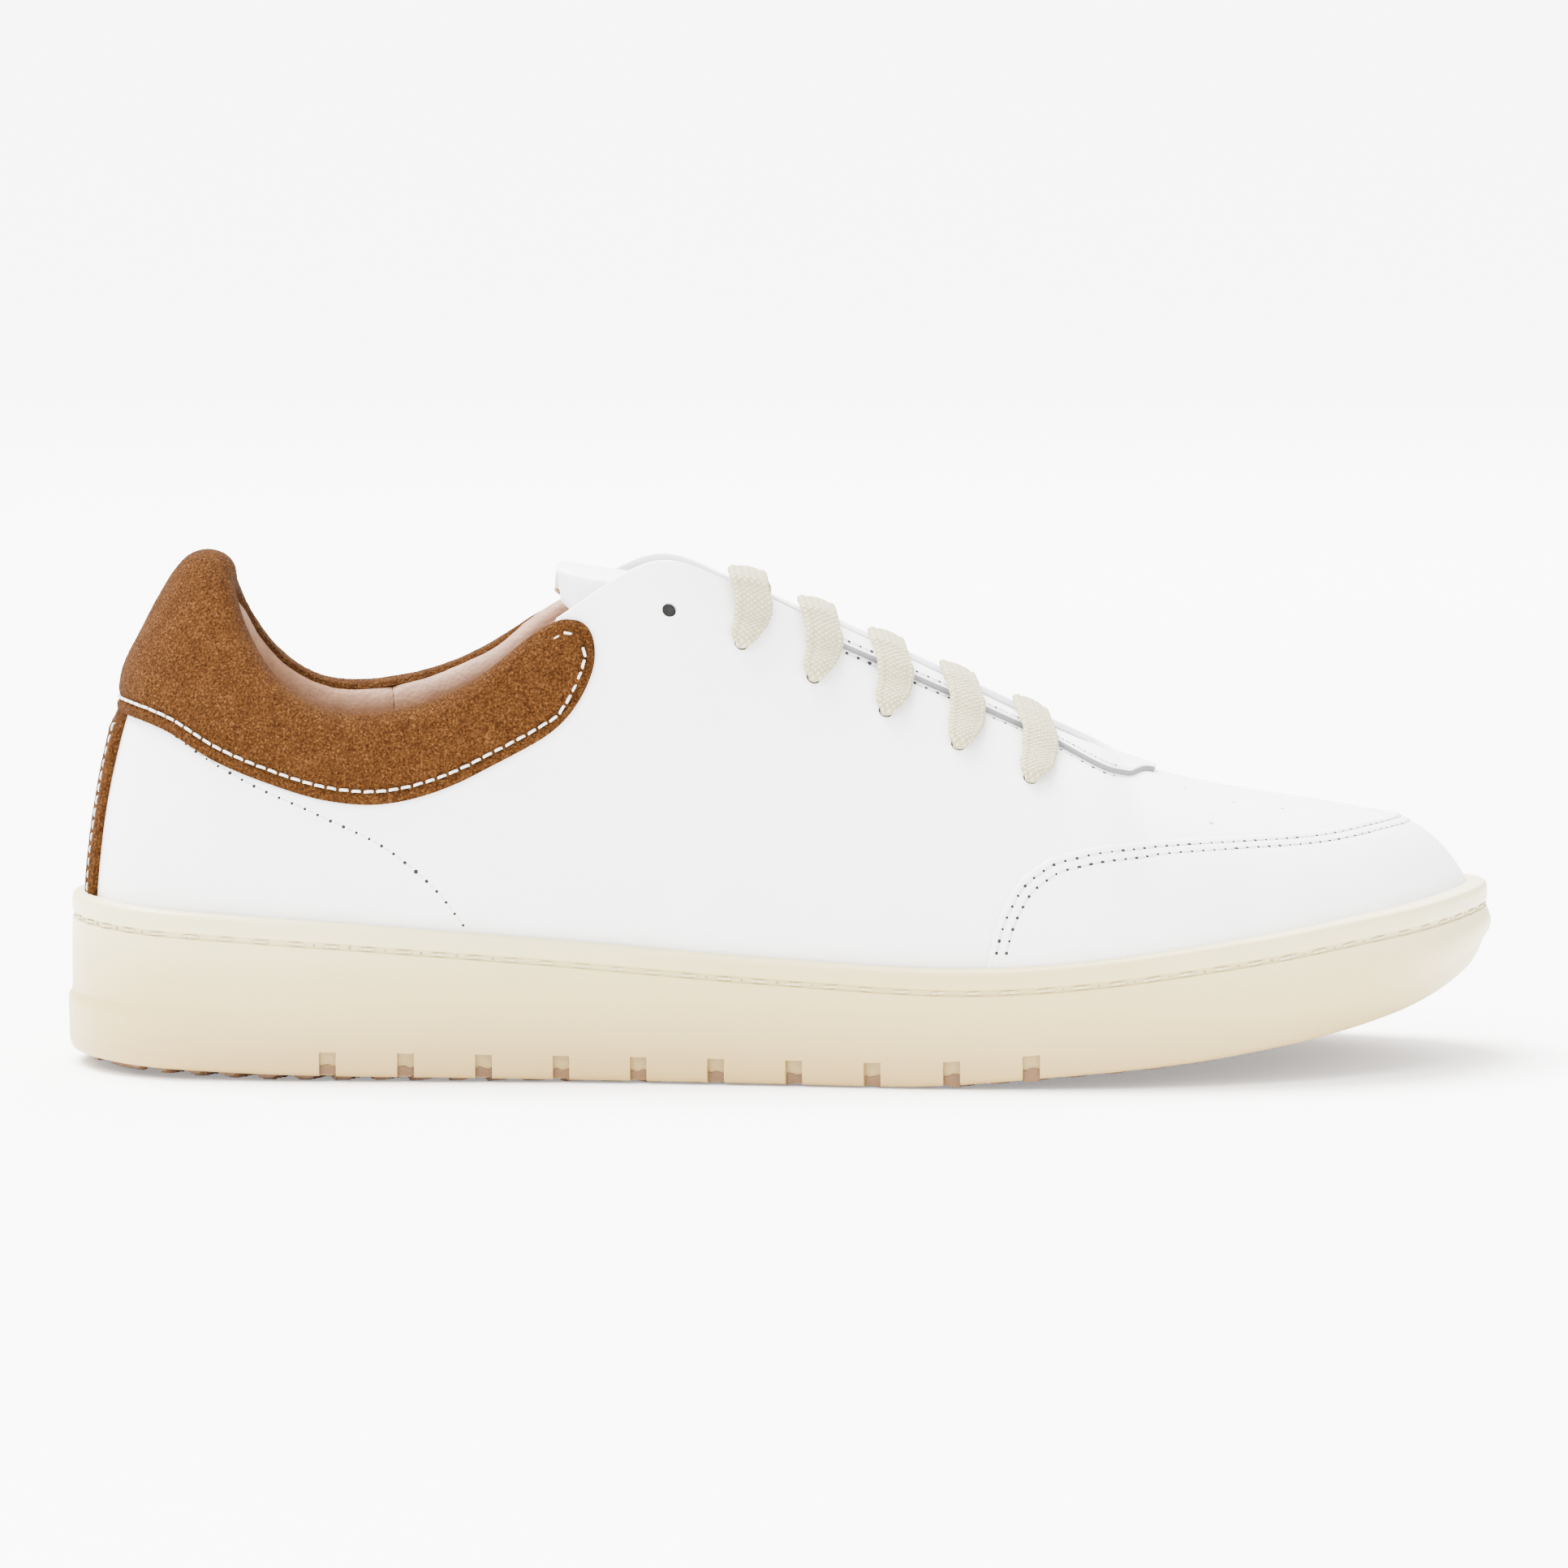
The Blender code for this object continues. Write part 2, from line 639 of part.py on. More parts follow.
def make_linings():
    outer = lambda t, v: -lining_depth(t, v)
    inner = lambda t, v: -lining_depth(t, v) - LINING

    def high(t):
        """Up to the suede that turns down inside the collar, and in front of it to the top."""
        under_lip = roll_v(t) - INNER_LIP / column_length(t) - 0.05
        return under_lip + (0.975 - under_lip) * ease(0.393, 0.415, from_heel(t))

    made = []
    for name, start, end in (
        ("heel_lining", -0.265, 0.265), ("outer_lining", 0.272, 0.775), ("inner_lining", 1.225, 1.728),
    ):
        made.append(finish(
            patch(run(start, end), above_board, high, 6, outer, inner), name, LINING_TAN, 0.6,
        ))
    toe = patch(
        run(0.785, 1.215), above_board, constant(0.96), 5,
        constant(-LINING_DEPTH), constant(-LINING_DEPTH - LINING),
    )
    finish(toe, "toe_lining", LINING_TAN, 0.7)
    return made[1:]


# ---- The padded collar ----

INNER_LIP = 9.0        # how far the suede runs down inside the collar


def column_length(t):
    return (point(t, 1.0) - point(t, 0.0)).length


def roll_radius(t):
    inside = lining_depth(t, 0.98) + LINING / 2
    return (CURVED_GAP + SUEDE / 2 + inside) / 2


def roll_v(t):
    return 1 - roll_radius(t) / column_length(t)


def collar_path(t, place, shift=0.0):
    """A point of the collar's skin, place from 0 at its lower outer edge to 1 inside.

    shift moves it out of the skin's middle: positive is outward all the way round.
    """
    radius, v_turn, low = roll_radius(t), roll_v(t), collar_low(t)
    length = column_length(t)
    rise = (v_turn - low) * length
    total = rise + math.pi * radius + INNER_LIP
    along = place * total
    skin = CURVED_GAP + SUEDE / 2
    if along <= rise:
        return layer(t, low + along / length, skin + shift)
    out = side_normal(t, v_turn)
    up = (point(t, v_turn) - point(t, v_turn - 0.01)).normalized()
    centre = point(t, v_turn) + out * (skin - radius)
    if along <= rise + math.pi * radius:
        turn = (along - rise) / radius
        return centre + (out * math.cos(turn) + up * math.sin(turn)) * (radius + shift)
    down = (along - rise - math.pi * radius) / length
    return point(t, v_turn - down) + out * (skin - 2 * radius - shift)


def make_collar_suede():
    wide = run(-0.386, 0.386)
    tip = [0.393, 0.404, 0.412, 0.419, 0.4245]
    columns = [-t for t in reversed(tip)] + wide + tip

    def ends(t):
        """Where the skin starts and ends along its path; in front it narrows to a round tip."""
        rise = (roll_v(t) - collar_low(t)) * column_length(t)
        whole = rise + math.pi * roll_radius(t) + INNER_LIP
        on_side = (rise - 1.0) / whole
        beyond = ease(0.393, 0.428, abs(t))
        return 0.42 * on_side * beyond, 1 + (on_side * (1 - 0.4 * beyond) - 1) * ease(0.386, 0.393, abs(t))

    outer = [[collar_path(t, s, SUEDE / 2) for s in spread(*ends(t), 11)] for t in columns]
    inner = [[collar_path(t, s, -SUEDE / 2) for s in spread(*ends(t), 11)] for t in columns]
    finish(sheet_solid(outer, inner), "collar_suede", TAN, 0.95)


def make_collar_foam():
    profiles = []
    for t in run(-0.375, 0.375):
        radius, v_turn = roll_radius(t), roll_v(t)
        behind = SHELL + CURVED_GAP
        top = min(shell_top(t) + 0.03, v_turn - 0.02)
        outer = [layer(t, v, -behind) for v in spread(collar_low(t) + 0.01, top, 3)]
        out = side_normal(t, v_turn)
        up = (point(t, v_turn) - point(t, v_turn - 0.01)).normalized()
        centre = point(t, v_turn) + out * (CURVED_GAP + SUEDE / 2 - radius)
        small = radius - SUEDE / 2 - 2.6 * CURVED_GAP
        roll = [
            centre + (out * math.cos(a) + up * math.sin(a)) * small
            for a in spread(0.0, math.pi, 5)
        ]
        low = collar_low(t) + 0.01
        inner = []
        for v in spread(roll_v(t) - 0.02, low, 4):
            room = min(lining_depth(t, v), 2 * radius - CURVED_GAP - SUEDE) - 2.5 * CURVED_GAP
            inner.append(layer(t, v, -max(room, behind + 0.5)))
        profiles.append(outer + roll + inner)
    finish(swept(profiles), "collar_foam", FOAM, 0.95)


def make_heel_strip():
    """The suede strip up the back, from behind the lip to the tab of the collar."""
    columns = [-STRIP_HALF_T, 0.0, STRIP_HALF_T]
    bm = patch(
        columns, lambda t: crossing(t, lambda x: lip_z(x) - 3.2),
        lambda t: collar_low(t) - 0.012, 6, constant(CURVED_GAP + SUEDE), constant(CURVED_GAP),
    )
    finish(bm, "heel_strip", TAN, 0.95)


# ---- The tongue ----

def outer_column_of_top(x, low=0.44, high=0.80):
    """t of the outer side's top edge at a given x, along the throat."""
    for _ in range(40):
        middle = (low + high) / 2
        low, high = (middle, high) if TOP_X(middle) < x else (low, middle)
    return low


def arch(start, end, rise_start, rise_end, count):
    """Points of a cubic from start to end that leaves and arrives along the two rises."""
    made = []
    for u in spread(0.0, 1.0, count):
        made.append(
            start * ((1 + 2 * u) * (1 - u) ** 2) + end * ((3 - 2 * u) * u * u)
            + rise_start * (u * (1 - u) ** 2) + rise_end * (u * u * (1 - u))
        )
    return made


def climb(t, v):
    """The direction up column t of the upper."""
    return (point(t, v) - point(t, v - 0.02)).normalized()


def tongue_section(x):
    """A row of the tongue's upper face, nested under the throat at x, outer side first."""
    t = outer_column_of_top(x)
    sides = []
    for column in (t, 2 - t):
        low = 0.80 + 0.10 * ease(0.7, 0.79, t)
        sides.append([layer(column, v, -TONGUE_DEPTH) for v in (low, (low + 0.95) / 2, 0.95)])
    near, far = sides[0][-1], sides[1][-1]
    reach = (far - near).length
    lift = reach * TONGUE_CROWN
    crown = arch(near, far, climb(t, 0.95) * lift, climb(2 - t, 0.95) * lift, 5)
    return sides[0][:-1] + crown + list(reversed(sides[1][:-1]))


TONGUE_FRONT = 64.0
TONGUE_NESTED = -20.0
TONGUE_TIP = ((-28.0, 0.3, 0.97), (-36.0, 1.4, 0.92), (-42.0, 2.3, 0.80), (-45.0, 2.6, 0.60))


def tongue_grid():
    grid = [tongue_section(x) for x in spread(TONGUE_FRONT, TONGUE_NESTED, 8)]
    last = grid[-1]
    for x, rise, width in TONGUE_TIP:
        middle = last[len(last) // 2]
        grid.append([
            Vector((p.x + x - TONGUE_NESTED, p.y * width, middle.z + (p.z - middle.z) * width + rise))
            for p in last
        ])
    return grid


def lowered(grid, depth):
    """The grid moved down along its own normals."""
    made = []
    for i, row in enumerate(grid):
        before, after = grid[max(i - 1, 0)], grid[min(i + 1, len(grid) - 1)]
        moved = []
        for j, here in enumerate(row):
            across = row[min(j + 1, len(row) - 1)] - row[max(j - 1, 0)]
            out = (before[j] - after[j]).cross(across).normalized()
            moved.append(here - out * depth)
        made.append(moved)
    return made


def make_tongue():
    grid = tongue_grid()
    top, names = 0.0, ("tongue_outer", "tongue_foam", "tongue_lining")
    looks = ((WHITE, 0.45), (FOAM, 0.95), (LINING_TAN, 0.7))
    for name, thick, look in zip(names, (TONGUE_LEATHER, TONGUE_FOAM, TONGUE_LINING), looks):
        upper_face, lower_face = lowered(grid, top), lowered(grid, top + thick)
        finish(sheet_solid(upper_face, lower_face), name, *look)
        top += thick + 0.5


# ---- The lace ----

def eyelet_line(x):
    return EYELET_FIRST[1] - EYELET_FALL * (x - EYELET_FIRST[0])


def eyelet_place(i, side):
    """t and v of eyelet i, counted from the top; side is -1 for the outer row, 1 for the inner."""
    x = EYELET_FIRST[0] + i * EYELET_PITCH
    low, high = 0.40, 0.80
    for _ in range(40):
        middle = (low + high) / 2
        v = crossing(middle, eyelet_line)
        low, high = (middle, high) if point(middle, v).x < x else (low, middle)
    v = crossing(low, eyelet_line)
    return (low, v) if side < 0 else (2 - low, v)


def strip_frame(t, v):
    """The directions along the shoe, up the column and out of it."""
    out = side_normal(t, v)
    up = climb(t, v)
    along = up.cross(out).normalized()
    return (along if along.x > 0 else -along), up, out


def lace_climb(t, v):
    """From inside the shoe, out through an eyelet and up to the throat: centre, width, thickness."""
    along, up, out = strip_frame(t, v)
    hole = point(t, v)
    above = GAP + LACE_THICK / 2
    made = [
        (hole + out * (1.4 - LACE_DEPTH), along * LACE_IN_HOLE, -up * LACE_IN_HOLE),
        (hole + out * -0.3, along * LACE_IN_HOLE, -up * LACE_IN_HOLE),
        (hole + out * (above + 0.2) + up * 1.0, along * 4.0, (out - up).normalized() * LACE_THICK),
    ]
    length = column_length(t)
    for share in (0.3, 0.65, 1.0):
        rise = v + (0.995 - v) * share
        lift = above + (GAP + OVERLAY + 0.3) * ease(0.25, 0.6, share)
        along, up, out = strip_frame(t, rise)
        wide = LACE_WIDTH * (0.75 + 0.25 * share)
        made.append((point(t, rise) + out * lift, along * wide, out * LACE_THICK))
    return made


def lace_bar(i):
    """One bar, from the inside of its outer eyelet to the inside of its inner one."""
    near = lace_climb(*eyelet_place(i, -1))
    far = lace_climb(*eyelet_place(i, 1))
    start, end = near[-1][0], far[-1][0]
    reach = (end - start).length
    slope_near = (start - near[-2][0]).normalized() * reach * LACE_CROWN
    slope_far = (end - far[-2][0]).normalized() * reach * LACE_CROWN
    bridge = arch(start, end, slope_near, slope_far, 9)
    width = (near[-1][1] + far[-1][1]) / 2
    middle = []
    for k in range(1, 8):
        run = (bridge[k + 1] - bridge[k - 1]).normalized()
        out = width.cross(run).normalized()
        out = out if out.z > 0 else -out
        middle.append((bridge[k], width, out * LACE_THICK))
    return near + middle + [(c, w, d) for c, w, d in reversed(far)]


def hidden_run(start, end, facing, count=4):
    """Inside the shoe from one eyelet to another place; facing carries on the strip's twist."""
    made = []
    forward = 1 if point(*end).x > point(*start).x else -1
    for share in spread(0.12, 0.88, count):
        t, v = start[0] + (end[0] - start[0]) * share, start[1] + (end[1] - start[1]) * share
        along, up, out = strip_frame(t, v)
        made.append((point(t, v) - out * LACE_DEPTH, out * forward * facing * 1.1, -up * LACE_HIDDEN))
    return made


def ribbon(places):
    return swept([
        [c - w / 2 - d / 2, c + w / 2 - d / 2, c + w / 2 + d / 2, c - w / 2 + d / 2] for c, w, d in places
    ])


def make_lace():
    """One lace laced straight across, its two ends tucked in and tipped with aglets."""
    last = EYELETS - 1
    first_hole, last_hole = eyelet_place(last, -1), eyelet_place(1, 1)
    outer_end = (first_hole[0] - 0.13, 0.50)
    inner_end = (last_hole[0] + 0.05, 0.50)
    route = hidden_run(outer_end, first_hole, -1, 6)
    facing = 1
    for i in range(last, 0, -1):
        bar = lace_bar(i)
        route += bar if facing > 0 else [(c, -w, d) for c, w, d in reversed(bar)]
        if i > 1:
            route += hidden_run(eyelet_place(i, facing), eyelet_place(i - 1, facing), facing)
        facing = -facing
    route += hidden_run(last_hole, inner_end, 1, 6)
    finish(ribbon(route), "lace", LACE_CREAM, 0.9)
    for name, (t, v), place, onward in (
        ("outer_aglet", outer_end, route[0][0], -0.08), ("inner_aglet", inner_end, route[-1][0], 0.08),
    ):
        start = place - side_normal(t, v) * 0.5
        make_aglet(name, start, layer(t + onward, v, -LACE_DEPTH - 1.2))


def make_aglet(name, start, towards):
    bm = bmesh.new()
    heading = (towards - start).normalized()
    bmesh.ops.create_cone(
        bm, cap_ends=True, segments=8, radius1=AGLET_RADIUS, radius2=AGLET_RADIUS, depth=AGLET_LENGTH
    )
    turn = heading.to_track_quat("Z", "Y")
    bmesh.ops.rotate(bm, verts=bm.verts, matrix=turn.to_matrix())
    bmesh.ops.translate(bm, verts=bm.verts, vec=start + heading * (AGLET_LENGTH / 2 + CURVED_GAP))
    finish(bm, name, LACE_CREAM, 0.3)


def punch_eyelets(pieces):
    """Round holes through the leather, its backing tape and the lining."""
    bm = bmesh.new()
    for i in range(EYELETS):
        for side in (-1, 1):
            t, v = eyelet_place(i, side)
            drill = bmesh.new()
            bmesh.ops.create_cone(
                drill, cap_ends=True, segments=8, radius1=EYELET_RADIUS, radius2=EYELET_RADIUS, depth=13
            )
            turn = side_normal(t, v).to_track_quat("Z", "Y")
            bmesh.ops.rotate(drill, verts=drill.verts, matrix=turn.to_matrix())
            bmesh.ops.translate(drill, verts=drill.verts, vec=point(t, v))
            merge(bm, drill)
    cutter = as_cutter(bm, "eyelet_cutter")
    for piece in pieces:
        cut(piece, cutter)


def make_sole_stitch():
    """The thread that lies in the groove of the side wall."""
    profiles = []
    for t in ring_columns():
        out, half = REACH(t) - GROOVE + GAP, THREAD / 2
        place, side = outline(t, out + half, 0), outward(t) * half
        height = lip_z(place.x) - LIP_HEIGHT - 0.5
        profiles.append([
            place + side * across + Vector((0, 0, height + half * rise))
            for across, rise in ((-1, 0), (0, -0.7), (1, 0), (0, 0.7))
        ])
    finish(swept(profiles, closed=True), "sole_stitch", LACE_CREAM, 0.6)


def main():
    for thing in list(bpy.data.objects):
        bpy.data.objects.remove(thing, do_unlink=True)
    make_cup_sole()
    make_tread()
    make_inner_sole()
    make_sole_stitch()
    punched = [make_upper()]
    make_toe_guard()
    make_throat_trim()
    punched += make_stiffeners()
    punched += make_linings()
    punch_eyelets(punched)
    make_collar_suede()
    make_collar_foam()
    make_heel_strip()
    make_tongue()
    make_lace()


main()
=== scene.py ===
"""The court shoe's looks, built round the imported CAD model. Lengths in tables are millimetres."""

import math

import bmesh
import bpy
import numpy as np
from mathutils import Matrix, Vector


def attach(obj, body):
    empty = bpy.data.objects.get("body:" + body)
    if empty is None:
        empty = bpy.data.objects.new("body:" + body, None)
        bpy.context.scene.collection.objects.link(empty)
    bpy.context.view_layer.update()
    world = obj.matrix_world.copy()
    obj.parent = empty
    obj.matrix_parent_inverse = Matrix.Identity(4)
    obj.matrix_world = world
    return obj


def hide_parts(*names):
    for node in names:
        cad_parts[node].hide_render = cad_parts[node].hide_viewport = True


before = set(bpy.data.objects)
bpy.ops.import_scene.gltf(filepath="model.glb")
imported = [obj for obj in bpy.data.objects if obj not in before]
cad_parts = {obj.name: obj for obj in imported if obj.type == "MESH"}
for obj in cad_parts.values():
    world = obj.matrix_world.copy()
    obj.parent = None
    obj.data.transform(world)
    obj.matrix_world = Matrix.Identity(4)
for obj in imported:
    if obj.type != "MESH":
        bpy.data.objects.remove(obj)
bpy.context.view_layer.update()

MM = 0.001
rng = np.random.default_rng(7)

# ---- The shoe's design, as in the CAD model, mm ----

THROAT_END = 0.82
FEATHER_DROP = 11.0
MARGIN = 12.0
LIP_HEIGHT = 4.3
COLLAR_FRONT = 0.425
GUARD_START = 0.703
TRIM_START = 0.585
STRIP_HALF_T = 0.030
LEATHER = 1.6
LINING_DEPTH = 3.75
COLLAR_PAD = 8.0
INNER_LIP = 9.0
NOTCHES, NOTCH_FIRST, NOTCH_PITCH, NOTCH_WIDTH, NOTCH_HEIGHT = 10, -94.2, 16.2, 3.4, 5.1
EYELETS, EYELET_PITCH, EYELET_FALL = 6, 15.0, 0.468
EYELET_FIRST = (-23.3, 97.7)
EYELET_RADIUS = 1.55

# t, feather x, feather y, top x, top y, top z, roundness in degrees, reach of the sole
OUTER_SIDE = (
    (0.00, -145.8, 0.0, -121.5, 0.0, 106.8, 66, 4.0),
    (0.05, -141.8, -17.0, -118.5, -8.5, 104.3, 61, 4.0),
    (0.10, -131.0, -29.5, -112.0, -17.0, 91.5, 52, 4.0),
    (0.16, -112.0, -35.0, -104.0, -23.5, 81.0, 46, 3.6),
    (0.25, -88.0, -37.0, -88.0, -29.0, 75.5, 38, 3.2),
    (0.34, -64.0, -37.5, -65.0, -31.5, 82.0, 38, 3.2),
    (0.41, -45.0, -38.0, -45.5, -31.0, 97.0, 42, 3.2),
    (0.47, -27.0, -39.5, -26.5, -27.0, 107.8, 50, 3.2),
    (0.53, -10.0, -42.0, -10.0, -22.5, 103.2, 60, 3.2),
    (0.60, 12.0, -45.5, 10.0, -18.5, 93.5, 68, 3.2),
    (0.68, 35.0, -49.0, 33.0, -14.5, 82.0, 75, 3.2),
    (0.75, 56.0, -50.5, 55.0, -11.0, 71.0, 82, 3.2),
    (0.79, 69.0, -50.3, 66.5, -7.0, 66.0, 86, 3.2),
    (0.82, 78.5, -49.0, 71.5, 1.0, 63.6, 88, 3.2),
    (0.86, 92.0, -45.5, 83.0, 2.0, 59.8, 90, 3.2),
    (0.91, 112.0, -37.5, 96.0, 4.0, 56.8, 90, 3.2),
    (0.955, 132.0, -22.0, 108.0, 6.0, 54.8, 90, 3.2),
    (1.00, 146.6, 9.0, 117.0, 8.0, 53.4, 90, 3.2),
)
INNER_SIDE = (
    (1.045, 139.0, 34.0, 108.0, 6.0, 54.8, 90, 3.2),
    (1.09, 120.0, 46.0, 96.0, 4.0, 56.8, 90, 3.2),
    (1.14, 97.0, 50.0, 83.0, 2.0, 59.8, 90, 3.2),
    (1.18, 80.0, 50.2, 71.5, 1.0, 63.6, 88, 3.2),
    (1.21, 68.0, 49.3, 66.5, 9.0, 66.0, 86, 3.2),
    (1.25, 54.0, 47.0, 55.0, 13.5, 71.0, 82, 3.2),
    (1.32, 33.0, 42.0, 33.0, 16.5, 81.2, 75, 3.2),
    (1.40, 10.0, 36.5, 10.0, 19.5, 91.9, 68, 3.2),
    (1.47, -11.0, 33.0, -10.0, 22.5, 100.8, 60, 3.2),
    (1.53, -27.0, 32.5, -26.5, 26.5, 105.6, 46, 3.2),
    (1.59, -45.0, 33.5, -45.5, 30.0, 96.3, 40, 3.2),
    (1.66, -64.0, 35.0, -65.0, 30.5, 84.0, 38, 3.2),
    (1.75, -88.0, 36.5, -88.0, 28.5, 78.0, 38, 3.2),
    (1.84, -112.0, 35.0, -104.0, 23.5, 82.5, 46, 3.6),
    (1.90, -131.0, 29.5, -112.0, 17.0, 92.0, 52, 4.0),
    (1.95, -141.8, 17.0, -118.5, 8.5, 104.3, 61, 4.0),
)
LIP_Z = ((-150, 36.4), (-102, 33.8), (-60, 30.8), (0, 26.4), (38, 24.9), (95, 30.2), (125, 34.4), (150, 37.2))
FOOT_Z = (
    (-150, 3.2), (-133, 2.5), (-115, 1.8), (-60, 0.9), (0, 0.5), (30, 0.6),
    (55, 2.6), (95, 6.7), (125, 11.7), (141, 15.8), (150, 19.5),
)
COLLAR_EDGE = (
    (-150, 73.2), (-137, 74.0), (-129, 71.8), (-118, 65.8), (-106, 61.2), (-94, 58.0),
    (-84, 57.4), (-76, 58.8), (-68, 61.6), (-60, 65.6), (-50, 71.0), (-44, 74.6), (-38.0, 79.0),
)
GUARD_EDGE = (
    (41.5, 22.0), (43.7, 31.9), (47, 39.5), (53, 45.4), (62, 48.2), (76, 49.2), (95, 49.4),
    (112, 49.6), (124, 50.6), (130, 50.9), (150, 51.0),
)


def hermite(start, end, slope_start, slope_end, u, reach=1.0):
    """A cubic between two values, with the slopes given over the reach."""
    ends = start * (1 + 2 * u) * (1 - u) ** 2 + end * (3 - 2 * u) * u * u
    return ends + reach * (slope_start * u * (1 - u) ** 2 + slope_end * (u - 1) * u * u)


def spline(knots, values, wrap=None):
    """The same smooth cubic as the CAD model's, for whole arrays of places; a value is a number or a vector."""
    knots, values = np.asarray(knots, float), np.asarray(values, float)
    if wrap:
        reach = 4
        knots = np.concatenate([knots[-reach:] - wrap, knots, knots[:reach] + wrap])
        values = np.concatenate([values[-reach:], values, values[:reach]])
    flat = (1,) * (values.ndim - 1)
    step = np.diff(knots).reshape(-1, *flat)
    slope = np.diff(values, axis=0) / step
    inner = (slope[:-1] * step[1:] + slope[1:] * step[:-1]) / (step[:-1] + step[1:])
    tangent = np.concatenate([slope[:1], inner, slope[-1:]])

    def at(place):
        place = np.asarray(place, float)
        place = place % wrap if wrap else place
        i = np.clip(np.searchsorted(knots, place) - 1, 0, len(step) - 1)
        u = np.clip((place - knots[i]) / (knots[i + 1] - knots[i]), 0.0, 1.0)
        u = np.reshape(u, (*place.shape, *flat))
        return hermite(values[i], values[i + 1], tangent[i], tangent[i + 1], u, step[i])

    return at


def bisect(is_low, low, high, rounds):
    """Where is_low turns false between low and high, for each place of two arrays."""
    for _ in range(rounds):
        middle = (low + high) / 2
        below = is_low(middle)
        low, high = np.where(below, middle, low), np.where(below, high, middle)
    return low


TABLE = np.array(OUTER_SIDE + INNER_SIDE)
FEATHER_X, FEATHER_Y, TOP_X, TOP_Y, TOP_Z, ROUND, REACH = (
    spline(TABLE[:, 0], TABLE[:, column], wrap=2.0) for column in range(1, 8)
)
lip_z, foot_z = spline(*zip(*LIP_Z)), spline(*zip(*FOOT_Z))
collar_edge, guard_edge = spline(*zip(*COLLAR_EDGE)), spline(*zip(*GUARD_EDGE))


def unit(vectors):
    return vectors / np.maximum(np.linalg.norm(vectors, axis=-1, keepdims=True), 1e-12)


def ease(edge_a, edge_b, value):
    u = np.clip((np.asarray(value, float) - edge_a) / (edge_b - edge_a), 0.0, 1.0)
    return u * u * (3 - 2 * u)


def rounded_off(distance, radius):
    """1 at an edge, falling on a quarter circle to 0 at the radius."""
    return 1 - np.sqrt(1 - (1 - np.clip(distance / radius, 0, 1)) ** 2)


def bump(middle, half, value):
    """1 at the middle, falling smoothly to 0 at half away from it."""
    return np.cos(np.clip(np.abs(np.asarray(value) - middle) / half, 0, 1) * math.pi) / 2 + 0.5


def from_heel(t):
    t = np.asarray(t, float) % 2
    return np.minimum(t, 2 - t)


def feather_z(x):
    return lip_z(x) - FEATHER_DROP


def outward(t):
    step = 0.004
    along_x = FEATHER_X(t + step) - FEATHER_X(t - step)
    along_y = FEATHER_Y(t + step) - FEATHER_Y(t - step)
    return unit(np.stack([along_y, -along_x, np.zeros_like(along_x)], -1))


def top_point(t):
    t = np.asarray(t, float) % 2
    own = np.stack([TOP_X(t), TOP_Y(t), TOP_Z(t)], -1)
    facing = np.stack([TOP_X(2 - t), TOP_Y(2 - t), TOP_Z(2 - t)], -1)
    shared = (t >= THROAT_END - 1e-9) & (t <= 2 - THROAT_END + 1e-9)
    return np.where(shared[..., None], (own + facing) / 2, own)


def point(t, v):
    """The outer face of the upper; t and v are arrays of one shape."""
    t, v = np.broadcast_arrays(np.asarray(t, float), np.asarray(v, float))
    fx, fy = FEATHER_X(t), FEATHER_Y(t)
    full = np.radians(ROUND(t))
    angle = np.maximum(v, 0) * full
    sideways = (1 - np.cos(angle)) / (1 - np.cos(full))
    top = top_point(t)
    fz = feather_z(fx)
    inset = np.minimum(v, 0)[..., None] * MARGIN * outward(t)
    return np.stack([
        fx + (top[..., 0] - fx) * sideways + inset[..., 0],
        fy + (top[..., 1] - fy) * sideways + inset[..., 1],
        fz + (top[..., 2] - fz) * np.sin(angle) / np.sin(full),
    ], -1)


def side_normal(t, v):
    t, v = np.broadcast_arrays(np.asarray(t, float), np.asarray(v, float))
    step = 0.003
    along = point(t + step, v) - point(t - step, v)
    up = point(t, np.minimum(v + 0.01, 1)) - point(t, v - 0.01)
    return unit(np.cross(along, up))


def normal(t, v):
    t, v = np.broadcast_arrays(np.asarray(t, float), np.asarray(v, float))
    own = side_normal(t, v)
    side = from_heel(t)
    shared = (v > 0.98) & (side >= THROAT_END - 1e-6)
    both = unit(own + side_normal(2 - t, v))
    share = ease(0.98, 1.0, v)[..., None] * shared[..., None]
    return unit(own * (1 - share) + both * share)


def layer(t, v, out):
    return point(t, v) + normal(t, v) * np.asarray(out, float)[..., None]


def crossing(t, line):
    """v where each column meets a line drawn on the side of the shoe."""
    t = np.asarray(t, float)

    def below(v):
        here = point(t, v)
        return here[..., 2] < line(here[..., 0])

    return bisect(below, np.zeros_like(t), np.ones_like(t), 26)


def column_length(t):
    return np.linalg.norm(point(t, 1.0) - point(t, 0.0), axis=-1)


def collar_low(t):
    return crossing(t, collar_edge)


def climb(t, v):
    return unit(point(t, v) - point(t, np.asarray(v) - 0.01))


def lining_depth(t, v):
    side = from_heel(t)
    low = np.where(side < COLLAR_FRONT + 0.02, collar_low(t), 0.8)
    share = 1 - ease(COLLAR_FRONT - 0.09, COLLAR_FRONT + 0.01, side)
    start, stop = low - 0.05, np.minimum(low + 0.15, 0.96)
    u = np.clip((v - start) / (stop - start), 0, 1)
    return LINING_DEPTH + (COLLAR_PAD - LINING_DEPTH) * u * u * (3 - 2 * u) * share


# ---- Mesh helpers ----

def grid_faces(columns, rows, closed):
    a = np.arange(columns if closed else columns - 1)
    b = (a + 1) % columns
    j = np.arange(rows - 1)
    a, b, j = a[:, None] * rows, b[:, None] * rows, j[None, :]
    return np.stack([a + j, b + j, b + j + 1, a + j + 1], -1).reshape(-1, 4)


